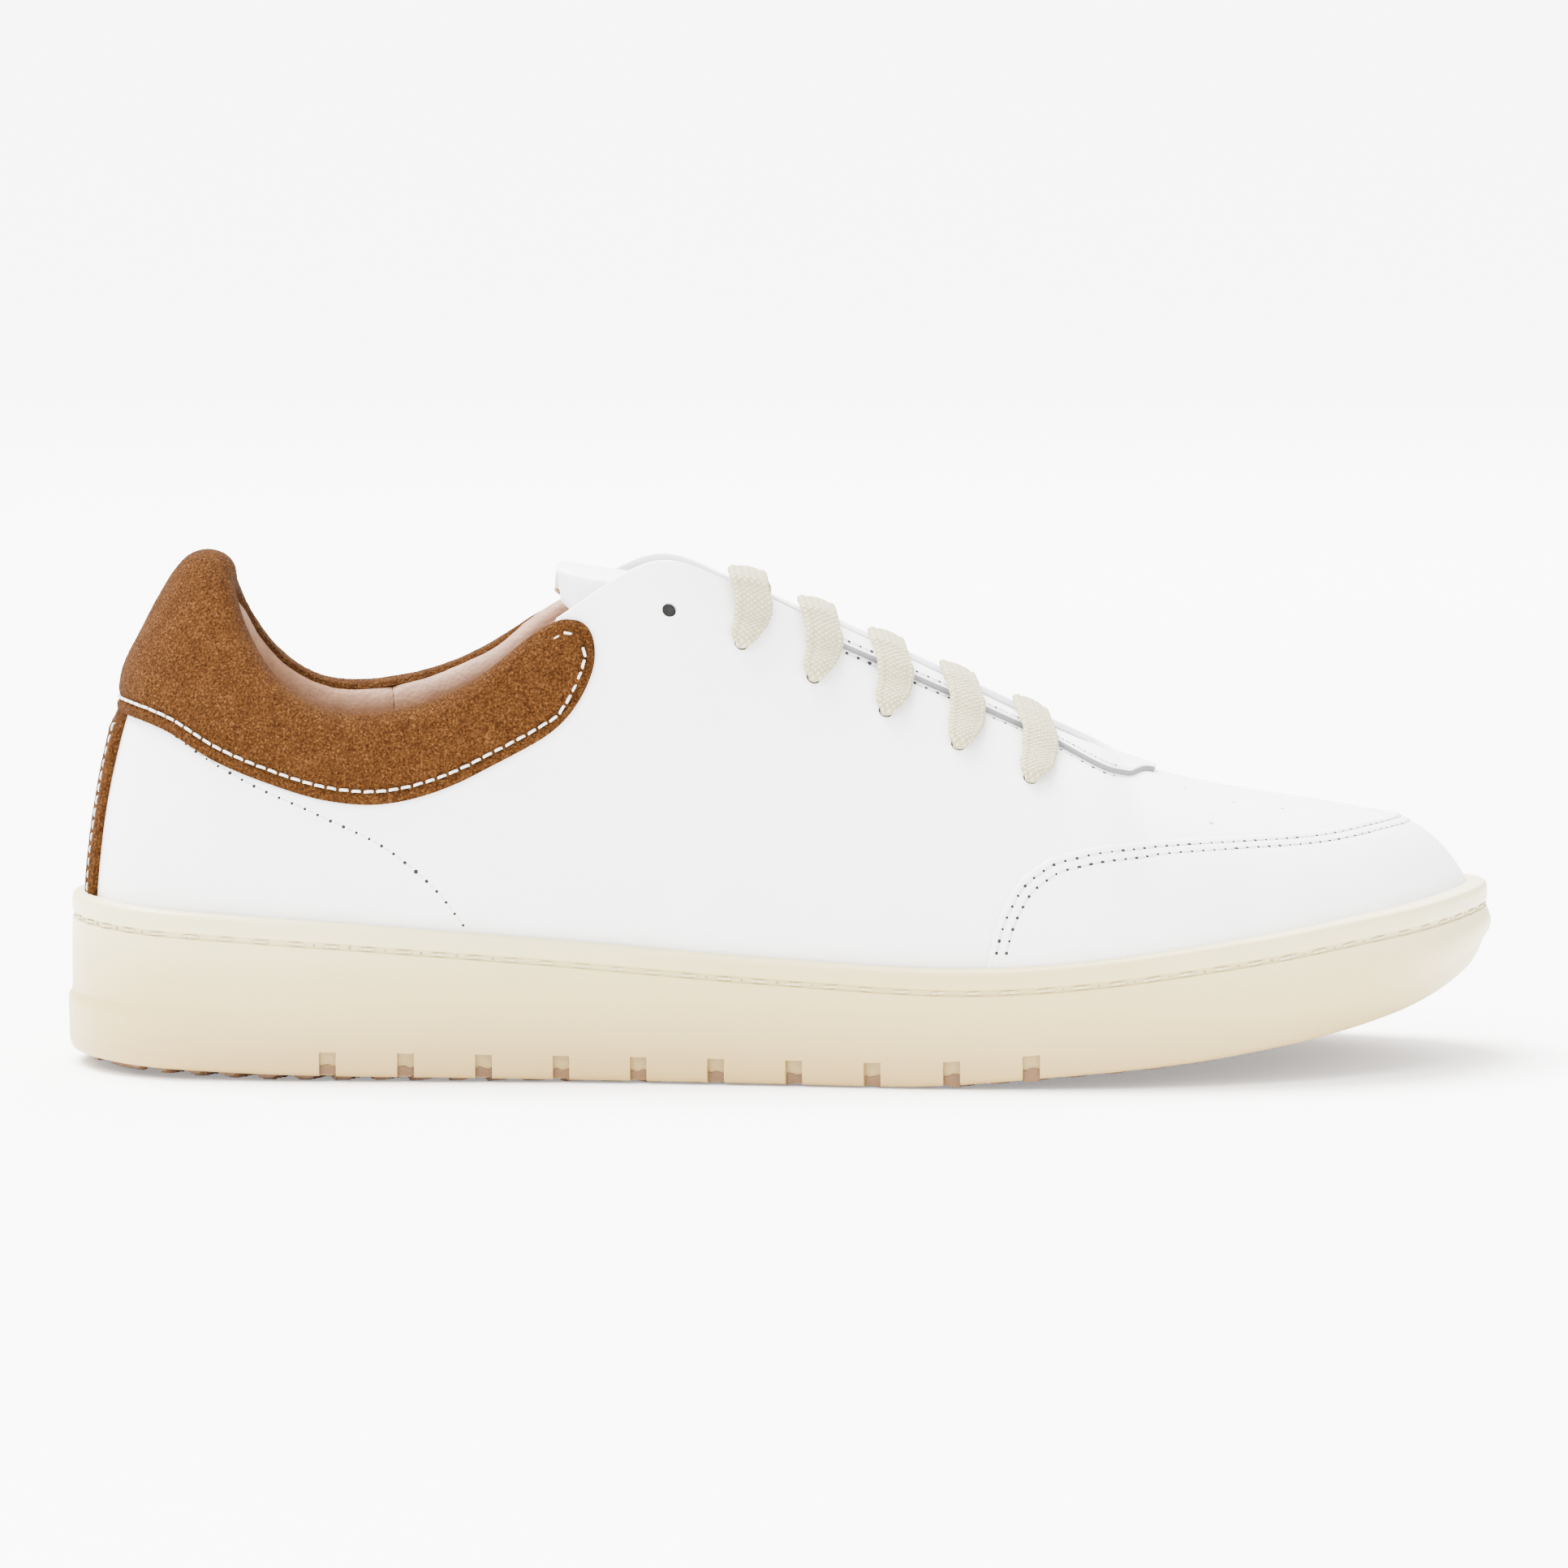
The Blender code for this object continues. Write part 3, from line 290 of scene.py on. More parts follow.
def sheet_solid(outer, inner, closed=False, ridge=None):
    """Points and faces of the solid between two grids; ridge marks columns whose last row is shared."""
    columns, rows = outer.shape[:2]
    points = np.concatenate([outer.reshape(-1, 3), inner.reshape(-1, 3)])
    top = grid_faces(columns, rows, closed)
    low = top[:, ::-1] + columns * rows
    a = np.arange(columns if closed else columns - 1)
    b = (a + 1) % columns
    shift = columns * rows
    rims = [np.stack([b * rows, a * rows, a * rows + shift, b * rows + shift], -1)]
    open_top = np.ones(len(a), bool) if ridge is None else ~(ridge[a] & ridge[b])
    a, b = a[open_top], b[open_top]
    last = rows - 1
    rims.append(np.stack([a * rows + last, b * rows + last, b * rows + last + shift, a * rows + last + shift], -1))
    if not closed:
        j = np.arange(rows - 1)
        rims.append(np.stack([j, j + 1, j + 1 + shift, j + shift], -1))
        e = (columns - 1) * rows
        rims.append(np.stack([e + j + 1, e + j, e + j + shift, e + j + 1 + shift], -1))
    return points, np.concatenate([top, low] + rims)


def swept(profiles, closed=False, open_end=False):
    """Points and faces of an outline placed at each column."""
    columns, sides = profiles.shape[:2]
    a = np.arange(columns if closed else columns - 1)
    b = (a + 1) % columns
    k = np.arange(sides - 1 if open_end else sides)
    m = (k + 1) % sides
    faces = np.stack([
        a[:, None] * sides + k, a[:, None] * sides + m, b[:, None] * sides + m, b[:, None] * sides + k
    ], -1).reshape(-1, 4).tolist()
    if not closed:
        faces += [list(range(sides)), list(range((columns - 1) * sides, columns * sides))[::-1]]
    return profiles.reshape(-1, 3), faces


def turned(start, axis, one, two, shape):
    """Points and faces of a round piece, from places along its axis with a radius at each."""
    angle = np.arange(24)[:, None] * 2 * math.pi / 24
    circle = one * np.cos(angle) + two * np.sin(angle)
    return swept(np.stack([start + axis * at + circle * radius for at, radius in shape]))


def build(name, parts, material, slot, body="shoe", weld=0.002, sharp=50, uv=None):
    """One object from lists of points (mm) and faces, welded, facing out and riding on its body."""
    points, faces, start = [], [], 0
    for some_points, some_faces in parts:
        points.append(np.asarray(some_points, float))
        faces += [[i + start for i in face] for face in np.asarray(some_faces, object).tolist()] \
            if isinstance(some_faces, list) else (some_faces + start).tolist()
        start += len(some_points)
    mesh = bpy.data.meshes.new(name)
    mesh.from_pydata((np.concatenate(points) * MM).tolist(), [], faces)
    if uv is not None:
        layer_uv = mesh.attributes.new("strand", "FLOAT_VECTOR", "POINT")
        layer_uv.data.foreach_set("vector", np.asarray(uv, np.float32).ravel())
    bm = bmesh.new()
    bm.from_mesh(mesh)
    if weld:
        bmesh.ops.remove_doubles(bm, verts=bm.verts, dist=weld * MM)
    bmesh.ops.recalc_face_normals(bm, faces=bm.faces)
    bm.to_mesh(mesh)
    bm.free()
    mesh.shade_smooth()
    mesh.set_sharp_from_angle(angle=math.radians(sharp))
    made = bpy.data.objects.new(name, mesh)
    bpy.context.scene.collection.objects.link(made)
    mesh.materials.append(material)
    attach(made, body)
    return made


def stand_in(name, parts, material, slot, **options):
    """The piece that takes the place of the CAD node of this name."""
    made = build("visual_" + name, parts, material, slot, **options)
    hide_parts(name)
    return made


def ripple(points, size, height, seed):
    """A smooth, repeatable unevenness of the given wavelength and height, mm."""
    random = np.random.default_rng(seed)
    total = np.zeros(points.shape[:-1])
    for _ in range(7):
        way = unit(random.normal(size=3)) * (2 * math.pi / size) * random.uniform(0.7, 1.5)
        total += np.sin(points @ way + random.uniform(0, 6.28))
    return total * height / 4


# ---- Materials ----

def new_material(name, colour, roughness):
    made = bpy.data.materials.new(name)
    made.use_nodes = True
    shader = made.node_tree.nodes["Principled BSDF"]
    shader.inputs["Base Color"].default_value = (*colour, 1)
    shader.inputs["Roughness"].default_value = roughness
    return made, made.node_tree, shader


def node(tree, kind, **inputs):
    made = tree.nodes.new(kind)
    for key, value in inputs.items():
        made.inputs[key.replace("_", " ")].default_value = value
    return made


def object_place(tree):
    return tree.nodes.new("ShaderNodeTexCoord").outputs["Object"]


def noise(tree, scale, detail=3.0, rough=0.55):
    made = node(tree, "ShaderNodeTexNoise", Scale=scale, Detail=detail, Roughness=rough)
    tree.links.new(object_place(tree), made.inputs["Vector"])
    return made.outputs["Fac"]


def ramp(tree, value, stops):
    made = tree.nodes.new("ShaderNodeValToRGB")
    elements = made.color_ramp.elements
    while len(elements) < len(stops):
        elements.new(0.5)
    for element, (position, colour) in zip(elements, stops):
        element.position = position
        element.color = (*colour, 1)
    tree.links.new(value, made.inputs["Fac"])
    return made.outputs["Color"]


def multiplied(tree, a, b):
    """The product of two colours."""
    made = tree.nodes.new("ShaderNodeMix")
    made.data_type = "RGBA"
    made.blend_type = "MULTIPLY"
    made.inputs[0].default_value = 1.0
    tree.links.new(a, made.inputs[6])
    tree.links.new(b, made.inputs[7])
    return made.outputs[2]


def combine(tree, a, b, factor):
    """a plus factor times b."""
    total = tree.nodes.new("ShaderNodeMath")
    total.operation = "MULTIPLY_ADD"
    total.inputs[1].default_value = factor
    tree.links.new(b, total.inputs[0])
    tree.links.new(a, total.inputs[2])
    return total.outputs[0]


def bumped(tree, shader, height, distance, strength):
    bump_node = node(tree, "ShaderNodeBump", Strength=strength, Distance=distance)
    tree.links.new(height, bump_node.inputs["Height"])
    tree.links.new(bump_node.outputs["Normal"], shader.inputs["Normal"])


def cells(tree, scale):
    made = node(tree, "ShaderNodeTexVoronoi", Scale=scale)
    tree.links.new(object_place(tree), made.inputs["Vector"])
    return made.outputs["Distance"]


def white_leather():
    made, tree, shader = new_material("white_leather", (0.78, 0.785, 0.79), 0.44)
    colour = ramp(tree, noise(tree, 60, 4), ((0.3, (0.765, 0.77, 0.775)), (0.7, (0.795, 0.80, 0.805))))
    tree.links.new(colour, shader.inputs["Base Color"])
    grain = combine(tree, cells(tree, 900), noise(tree, 1900, 2), 0.6)
    grain = combine(tree, grain, noise(tree, 240, 3), 0.5)
    bumped(tree, shader, grain, 0.00007, 0.55)
    rough = ramp(tree, noise(tree, 400, 2), ((0.3, (0.40,) * 3), (0.7, (0.50,) * 3)))
    tree.links.new(rough, shader.inputs["Roughness"])
    return made


def suede():
    made, tree, shader = new_material("tan_suede", (0.36, 0.14, 0.045), 0.95)
    fibre = noise(tree, 2100, 6, 0.7)
    patches = noise(tree, 220, 4, 0.6)
    fine = ramp(tree, fibre, (
        (0.30, (0.009, 0.0026, 0.0005)), (0.44, (0.034, 0.0118, 0.0026)),
        (0.56, (0.068, 0.0265, 0.0066)), (0.72, (0.170, 0.082, 0.030)),
    ))
    wide = ramp(tree, patches, ((0.3, (0.78, 0.74, 0.70)), (0.7, (1.12, 1.12, 1.12))))
    tree.links.new(multiplied(tree, fine, wide), shader.inputs["Base Color"])
    bumped(tree, shader, combine(tree, fibre, noise(tree, 700, 4), 0.5), 0.0007, 0.9)
    shader.inputs["Specular IOR Level"].default_value = 0.04
    return made


def lining():
    made, tree, shader = new_material("lining_leather", (0.50, 0.29, 0.18), 0.62)
    colour = ramp(tree, noise(tree, 300, 5), ((0.3, (0.175, 0.078, 0.034)), (0.7, (0.235, 0.115, 0.055))))
    pores = ramp(tree, cells(tree, 1100), ((0.0, (0.62, 0.58, 0.55)), (0.25, (1, 1, 1))))
    tree.links.new(multiplied(tree, colour, pores), shader.inputs["Base Color"])
    bumped(tree, shader, combine(tree, cells(tree, 1100), noise(tree, 500, 3), 0.6), 0.00012, 0.7)
    return made


def cream_rubber():
    made, tree, shader = new_material("cream_rubber", (0.80, 0.73, 0.60), 0.42)
    split = tree.nodes.new("ShaderNodeSeparateXYZ")
    tree.links.new(object_place(tree), split.inputs["Vector"])
    height = tree.nodes.new("ShaderNodeMapRange")
    for index, value in ((1, 0.0), (2, 0.034), (3, 0.0), (4, 1.0)):
        height.inputs[index].default_value = value
    tree.links.new(split.outputs["Z"], height.inputs[0])
    # painted shade: the colour runs from brown at the floor to cream 34 mm up, for the shaded lower part of the
    # translucent wall
    colour = ramp(tree, height.outputs[0], (
        (0.0, (0.34, 0.220, 0.065)), (0.30, (0.41, 0.300, 0.108)), (0.65, (0.49, 0.395, 0.165)),
        (1.0, (0.56, 0.51, 0.29)),
    ))
    cloudy = ramp(tree, noise(tree, 45, 3), ((0.3, (0.965, 0.96, 0.95)), (0.7, (1, 1, 1))))
    tree.links.new(multiplied(tree, colour, cloudy), shader.inputs["Base Color"])
    shader.inputs["Subsurface Weight"].default_value = 0.18
    shader.inputs["Subsurface Radius"].default_value = (0.006, 0.004, 0.002)
    shader.inputs["Subsurface Scale"].default_value = 0.5
    bumped(tree, shader, combine(tree, noise(tree, 1400, 3), noise(tree, 90, 2), 1.5), 0.00005, 0.5)
    return made


def gum_rubber():
    made, tree, shader = new_material("gum_rubber", (0.37, 0.18, 0.06), 0.5)
    colour = ramp(tree, noise(tree, 120, 4), ((0.3, (0.085, 0.036, 0.006)), (0.7, (0.135, 0.062, 0.013))))
    tree.links.new(colour, shader.inputs["Base Color"])
    shader.inputs["Subsurface Weight"].default_value = 0.1
    shader.inputs["Subsurface Radius"].default_value = (0.004, 0.002, 0.001)
    shader.inputs["Subsurface Scale"].default_value = 0.5
    bumped(tree, shader, noise(tree, 1200, 3), 0.00008, 0.6)
    return made


def cotton(name, colour, strand=True):
    """Braided cotton, with painted shade between the strands of the lace's weave; strand is x along the lace and y
    across it, mm.
    """
    made, tree, shader = new_material(name, colour, 0.9)
    shader.inputs["Sheen Weight"].default_value = 0.15
    dark = tuple(c * 0.50 for c in colour)
    if strand:
        attribute = tree.nodes.new("ShaderNodeAttribute")
        attribute.attribute_name = "strand"
        waves = []
        for turn in (0.62, -0.62):
            mapping = tree.nodes.new("ShaderNodeMapping")
            mapping.inputs["Rotation"].default_value = (0, 0, turn)
            tree.links.new(attribute.outputs["Vector"], mapping.inputs["Vector"])
            wave = node(tree, "ShaderNodeTexWave", Scale=0.36, Distortion=0.6, Detail=1.0)
            wave.bands_direction = "X"
            tree.links.new(mapping.outputs["Vector"], wave.inputs["Vector"])
            waves.append(wave.outputs["Fac"])
        weave = tree.nodes.new("ShaderNodeMath")
        weave.operation = "MULTIPLY"
        tree.links.new(waves[0], weave.inputs[0])
        tree.links.new(waves[1], weave.inputs[1])
        height = combine(tree, weave.outputs[0], noise(tree, 2600, 3), 0.35)
        # painted shade: the colour falls to half where the weave is low, in the hollows between the strands
        tint = ramp(tree, weave.outputs[0], ((0.0, dark), (0.45, colour)))
        distance = 0.0005
    else:
        height = noise(tree, 2600, 3)
        tint = ramp(tree, height, ((0.3, dark), (0.6, colour)))
        distance = 0.0002
    tree.links.new(tint, shader.inputs["Base Color"])
    bumped(tree, shader, height, distance, 0.8)
    return made


def plain(name, colour, roughness):
    """A simple mottled material, for what is nearly hidden."""
    made, tree, shader = new_material(name, colour, roughness)
    dark = tuple(c * 0.85 for c in colour)
    tree.links.new(ramp(tree, noise(tree, 900, 4), ((0.3, dark), (0.7, colour))), shader.inputs["Base Color"])
    bumped(tree, shader, noise(tree, 900), 0.0001, 0.6)
    return made


WHITE = white_leather()
SUEDE = suede()
LINING = lining()
CREAM = cream_rubber()
GUM = gum_rubber()
LACE = cotton("cotton_lace", (0.54, 0.48, 0.28))
THREAD = cotton("white_thread", (0.72, 0.71, 0.67), strand=False)
SOLE_THREAD = cotton("cream_thread", (0.60, 0.52, 0.30), strand=False)
FOAM = plain("foam", (0.75, 0.72, 0.62), 0.95)
BOARD = plain("fibre_board", (0.45, 0.36, 0.25), 0.9)
GROOVE_SHADE = plain("groove_shadow", (0.30, 0.22, 0.12), 0.8)
CUT_EDGE = plain("cut_edge", (0.16, 0.16, 0.165), 0.8)
HOLE = plain("hole_shadow", (0.006, 0.005, 0.004), 0.9)
AGLET = plain("aglet_film", (0.82, 0.79, 0.70), 0.25)


# ---- Places round the shoe ----

FINE_T = np.linspace(0, 2, 4001)
FINE_LENGTH = np.concatenate([[0], np.cumsum(np.hypot(np.diff(FEATHER_X(FINE_T)), np.diff(FEATHER_Y(FINE_T))))])


def even(start, end, pitch):
    """Columns from start to end, spaced evenly along the feather outline, pitch mm apart."""
    turns = np.floor(np.array([start, end]) / 2)
    a, b = np.interp(np.array([start, end]) % 2, FINE_T, FINE_LENGTH) + turns * FINE_LENGTH[-1]
    b = b if end % 2 or end == start else turns[1] * FINE_LENGTH[-1]
    places = np.linspace(a, b, max(int((b - a) / pitch), 2) + 1)
    whole = np.floor(places / FINE_LENGTH[-1] + 1e-12)
    made = np.interp(places - whole * FINE_LENGTH[-1], FINE_LENGTH, FINE_T) + 2 * whole
    made[0], made[-1] = start, end
    return made


def outline(t, reach, height=0.0):
    """A point of the sole's plan, reach outside the feather outline; height is a number or a function of x."""
    out = outward(t)
    x = FEATHER_X(t) + out[..., 0] * reach
    y = FEATHER_Y(t) + out[..., 1] * reach
    return np.stack([x, y, height(x) if callable(height) else np.full_like(x, height)], -1)


def across_sole(t, reach, rows):
    """A flat grid from the outer side's outline to the inner side's, and how far each place is from its rim."""
    outer, inner = outline(t, reach), outline(2 - t, reach)
    share = np.linspace(0, 1, rows + 1)[None, :, None]
    rim = np.minimum(share, 1 - share)[..., 0] * np.linalg.norm(inner - outer, axis=-1)[:, None]
    return outer[:, None] * (1 - share) + inner[:, None] * share, rim


def column_at_x(x, inner=False):
    """t where the feather outline passes x on one side."""
    t = np.linspace(0, 1, 2001)
    return 2 - np.interp(x, FEATHER_X(2 - t), t) if inner else np.interp(x, FEATHER_X(t), t)


def place_at(x, z, low, high):
    """t and v of the outer side's points at each x and height."""
    x, z = np.broadcast_arrays(np.atleast_1d(np.asarray(x, float)), z)
    t = bisect(
        lambda t: point(t, crossing(t, lambda _: z))[..., 0] < x, np.full(x.shape, low), np.full(x.shape, high), 28
    )
    return t, crossing(t, lambda _: z)


def rows_between(low, high, count, crowd=None):
    """v from low to high for each column; crowd packs the last rows towards the top edge."""
    share = np.linspace(0, 1, count)
    if crowd:
        share = 1 - (1 - share) ** crowd
    return low[:, None] + (high - low)[:, None] * share[None, :]


# ---- Stitches ----

def run_length(path):
    return np.concatenate([[0], np.cumsum(np.linalg.norm(np.diff(path, axis=0), axis=1))])


def spaced(path, pitch, between):
    """Lengths at every pitch along a polyline, or halfway between them, and a picker of values at a length."""
    lengths = run_length(path)
    count = max(int(lengths[-1] / pitch), 1)
    at = (np.arange(count) + 0.5 if between else np.arange(count + 1)) * lengths[-1] / count
    return at, lambda values, place: np.stack([np.interp(place, lengths, values[:, k]) for k in range(3)], -1)


def studs(rings):
    """Points and faces of many short capped tubes, from an array of tube, ring and side."""
    count, layers, sides = rings.shape[:3]
    index = np.arange(count * layers * sides).reshape(count, layers, sides)
    low, high = index[:, :-1], index[:, 1:]
    quads = np.stack([low, np.roll(low, -1, 2), np.roll(high, -1, 2), high], -1).reshape(-1, 4).tolist()
    return rings.reshape(-1, 3), quads + index[:, 0, ::-1].tolist() + index[:, -1].tolist()


def thread_row(path, normals, pitch, length, radius, height=0.6, sink=1.6, skew=0.0):
    """Stitches along a polyline: short threads that dive into the surface at both ends."""
    at, pick = spaced(path, pitch, between=True)
    centres, out = pick(path, at), unit(pick(normals, at))
    along = unit(pick(path, at + 0.2) - pick(path, at - 0.2))
    side = np.cross(out, along)
    jitter = rng.normal(0, 0.04, (len(centres), 2))
    places = np.array([-0.5, -0.44, -0.3, 0.0, 0.3, 0.44, 0.5])
    lifts = np.array([-sink, 0.0, height * 0.8, height, height * 0.8, 0.0, -sink]) * radius
    angle = np.arange(7) * 2 * math.pi / 7
    rings = []
    for place, lift in zip(places, lifts):
        centre = centres + along * (place * length * (1 + jitter[:, :1])) + out * lift \
            + side * (place * length * (skew + jitter[:, 1:]))
        tilt = np.sign(place) * (abs(place) > 0.4)
        one, two = side * radius, unit(out + along * tilt * 0.8) * radius * 0.85
        circle = one[:, None] * np.cos(angle)[None, :, None] + two[:, None] * np.sin(angle)[None, :, None]
        rings.append(centre[:, None] + circle)
    return studs(np.stack(rings, 1))


def hole_row(path, normals, pitch, radius, lift):
    """The needle holes between the stitches, as small dark lenses set into the surface."""
    at, pick = spaced(path, pitch, between=False)
    centres, out = pick(path, at), unit(pick(normals, at))
    along = unit(np.gradient(centres, axis=0))
    side = np.cross(out, along)
    angle = np.arange(8) * 2 * math.pi / 8
    size = (radius * (1 + 0.15 * rng.normal(size=len(centres))))[:, None, None]
    circle = along[:, None] * np.cos(angle)[None, :, None] + side[:, None] * np.sin(angle)[None, :, None]
    rings = [centres[:, None] + circle * size * wide + out[:, None] * up for up, wide in ((lift, 1.0), (-0.5, 0.9))]
    return studs(np.stack(rings, 1))


def surface_path(t, v, out):
    return layer(t, v, out), normal(t, v)


def inset_path(t, v, distance):
    """(t, v) of a line on the upper moved sideways by distance mm; positive is to its left, seen from outside."""
    step = 1e-4
    along_t = (point(t + step, v) - point(t - step, v)) / (2 * step)
    along_v = (point(t, v) - point(t, v - step)) / step
    path = point(t, v)
    heading = unit(np.gradient(path, axis=0))
    left = np.cross(normal(t, v), heading) * distance
    a, b, c = (along_t ** 2).sum(-1), (along_t * along_v).sum(-1), (along_v ** 2).sum(-1)
    d, e = (left * along_t).sum(-1), (left * along_v).sum(-1)
    det = a * c - b * b
    return t + (c * d - b * e) / det, v + (a * e - b * d) / det


# ---- The sole ----

WALL, TREAD_PLATE, GROOVE = 2.4, 2.3, 0.7
NOTCH_IN = 1.9
SOLE_PITCH = 7.4       # of the stitches in the groove
TREAD_RISE = 1.75      # the tread's upper face, above the foot
LUG_PITCH, ZIGZAG_PITCH = 7.9, 9.0
FLOOR_RISE = 3.4       # the cup's floor, above the tread's plate
TOE_TUCK = 3.4         # how far the sole's foot is drawn in under the toe


def plate_z(x):
    return foot_z(x) + TREAD_PLATE


def notch_columns():
    """Extra columns at the sides of each notch, and where a column is in a notch."""
    spans = []
    for i in range(NOTCHES):
        x = NOTCH_FIRST + i * NOTCH_PITCH
        for inner in (False, True):
            a, b = sorted(column_at_x(x + s * NOTCH_WIDTH / 2, inner) for s in (-1, 1))
            spans.append((a, b))
    return np.array(spans)


SPANS = notch_columns()


def in_notch(t):
    t = np.asarray(t)[:, None]
    return ((t >= SPANS[:, 0] - 1e-9) & (t <= SPANS[:, 1] + 1e-9)).any(1)


def sole_columns(pitch):
    edge = 0.00022
    extra = np.concatenate([SPANS[:, 0] - edge, SPANS[:, 0] + edge, SPANS[:, 1] - edge, SPANS[:, 1] + edge])
    base = even(0.0, 2.0, pitch)[:-1]
    gap = np.abs(base[:, None] - np.concatenate([SPANS[:, 0], SPANS[:, 1]])[None]).min(1)
    return np.sort(np.concatenate([base[gap > 0.0006], extra]))


def make_cup_sole():
    t = sole_columns(1.1)
    reach = REACH(t)
    notch = (in_notch(t)).astype(float)
    near_heel = 1 - ease(0.10, 0.17, from_heel(t))
    near_toe = ease(0.84, 0.97, from_heel(t))
    sag = ripple(outline(t, 0), 60, 0.12, 3)
    rows = []

    def beside(out, height, cut=0.0, step=0.0):
        """A row of the wall; cut is how far the notches go in there, step how far the heel's bumper stands out."""
        first = outline(t, reach + out, height)
        above_foot = np.clip((first[:, 2] - foot_z(first[:, 0])) / 11.0, 0, 1)
        tucked = near_toe * (TOE_TUCK * (1 - above_foot) ** 2.2)
        place = outline(t, reach + out + sag - notch * cut + near_heel * step - tucked)
        place[:, 2] = height(first[:, 0])
        rows.append(place)

    middle = (outline(t, reach - WALL) + outline(2 - t, reach - WALL)) / 2
    middle[:, 2] = plate_z(middle[:, 0])
    rows.append(middle)
    beside(-WALL - 0.5, plate_z)
    beside(-WALL - 0.5, foot_z)
    for out, up in ((-1.1, 0.0), (-0.55, 0.14), (-0.2, 0.45), (-0.03, 0.95)):
        beside(out, lambda x: foot_z(x) + up, NOTCH_IN - 0.5 * (out < -1), 0.5)
    for up in (2.0, 3.2, NOTCH_HEIGHT - 0.12):
        beside(0, lambda x: foot_z(x) + up, NOTCH_IN, 0.8)
    beside(0, lambda x: foot_z(x) + NOTCH_HEIGHT, 0, 0.85)
    beside(0, lambda x: foot_z(x) + NOTCH_HEIGHT + 0.3, 0, 0.85)
    top = lambda x: lip_z(x) - LIP_HEIGHT
    for share, step in (
        (0.10, 0.85), (0.22, 0.9), (0.27, 0.75), (0.30, 0.15), (0.36, 0.0), (0.5, 0), (0.65, 0), (0.8, 0), (0.92, 0),
    ):
        bulge = (0.12 + 0.9 * near_toe) * math.sin(math.pi * share)
        beside(bulge, lambda x: foot_z(x) + 5.4 + (top(x) - 6.9 - foot_z(x)) * share, 0, step)
    for out, up in (
        (0, -1.35), (-0.06, -1.18), (-0.3, -1.08), (-0.6, -1.04), (-GROOVE, -0.9), (-GROOVE, -0.15), (-0.6, 0.02),
        (-0.35, 0.08), (-0.1, 0.2), (0.02, 0.5), (0.04, 1.4), (0.03, 2.4), (-0.05, 3.2), (-0.25, 3.8),
        (-0.6, 4.15), (-1.05, 4.3),
    ):
        beside(out, lambda x: top(x) + up)
    side = from_heel(t)
    overlay = np.maximum(
        1 - ease(STRIP_HALF_T, STRIP_HALF_T + 0.02, side), ease(GUARD_START - 0.02, GUARD_START, side)
    )
    for drop, out in ((-0.02, 0.12), (0.35, 0.02), (3.0, 0.02)):
        v = crossing(t, lambda x: lip_z(x) - drop)
        rows.append(layer(t, v, out + overlay * 1.15 * (drop < 3)))
    rows.append(layer(t, crossing(t, lambda x: lip_z(x) - 4.8), 0.02))
    rows.append(outline(t, 0.3, lambda x: plate_z(x) + FLOOR_RISE))
    floor = (outline(t, 0) + outline(2 - t, 0)) / 2
    floor[:, 2] = plate_z(floor[:, 0]) + FLOOR_RISE
    rows.append(floor)
    stand_in("cup_sole", [swept(np.stack(rows, 1), closed=True, open_end=True)], CREAM, "cream_rubber", sharp=48)


def make_sole_stitch():
    t = even(0.0, 2.0, 1.0)[:-1]
    out = REACH(t) - GROOVE - 0.05
    path = outline(t, out, lambda x: lip_z(x) - LIP_HEIGHT - 0.52)
    normals = outward(t)
    path, normals = (np.concatenate([a, a[:1]]) for a in (path, normals))
    threads = thread_row(path, normals, SOLE_PITCH, 3.9, 0.33, 0.9, 1.4, 0.05)
    stand_in("sole_stitch", [threads], SOLE_THREAD, "cotton_lace", weld=0)
    holes = hole_row(path, normals, SOLE_PITCH, 0.3, 0.10)
    build("sole_needle_holes", [holes], GROOVE_SHADE, "cream_rubber", weld=0)


def make_tread():
    """The gum plate: zigzag lugs across its foot, and a small tongue of gum in each notch."""
    side = np.unique(np.concatenate([
        even(0.0, 1.0, 0.9), np.ravel([[a - 2e-4, a + 2e-4, b - 2e-4, b + 2e-4] for a, b in SPANS[::2]]),
    ]))
    side = side[side <= 1.0]
    notch = in_notch(side).astype(float)
    edge = REACH(side) - WALL - 0.2 + notch * 1.35 - (TOE_TUCK + 2.5) * ease(0.80, 0.95, side)
    grid, rim = across_sole(side, edge, 60)
    x, y = grid[..., 0], grid[..., 1]
    zigzag = 1.6 * np.abs(((y / ZIGZAG_PITCH) % 2) - 1)
    wave = np.cos((x + 3.0 * zigzag) * 2 * math.pi / LUG_PITCH)
    lug = ease(-0.25, 0.35, wave)
    heel = 1 - ease(-62, -48, x)
    calm_toe = 1 - 0.9 * ease(85, 120, x)
    deep = np.minimum(1.5 * heel + 0.8 * (1 - heel), foot_z(x) - 0.02) * calm_toe
    low = foot_z(x) - deep * lug * (0.5 + 0.5 * ease(0, 2.5, rim))
    notch_rise = notch[:, None] * (rim < 6) * (0.35 + 0.3 * np.cos(x * 5.0))
    grid_low = np.stack([x, y, np.maximum(low + (1 - lug) * 0.35, 0.0)], -1)
    grid_high = np.stack([x, y, foot_z(x) + TREAD_RISE + notch_rise], -1)
    stand_in("tread", [sheet_solid(grid_high, grid_low)], GUM, "gum_rubber", sharp=35)


# ---- The upper ----

def shell_top(t):
    hidden = 1 - ease(0.3935, 0.404, from_heel(t))
    return 1 - hidden * (1 - np.minimum(collar_low(t) + 0.13, 1))


def sag_of(t, v):
    """The soft unevenness of lasted leather, mm, none at its edges."""
    spots = point(t, v)
    calm = ease(0.0, 0.12, v) * (1 - ease(0.9, 1.0, v))
    return (ripple(spots, 70, 0.16, 11) + ripple(spots, 24, 0.06, 12)) * calm


def eyelet_line(x):
    return EYELET_FIRST[1] - EYELET_FALL * (x - EYELET_FIRST[0])


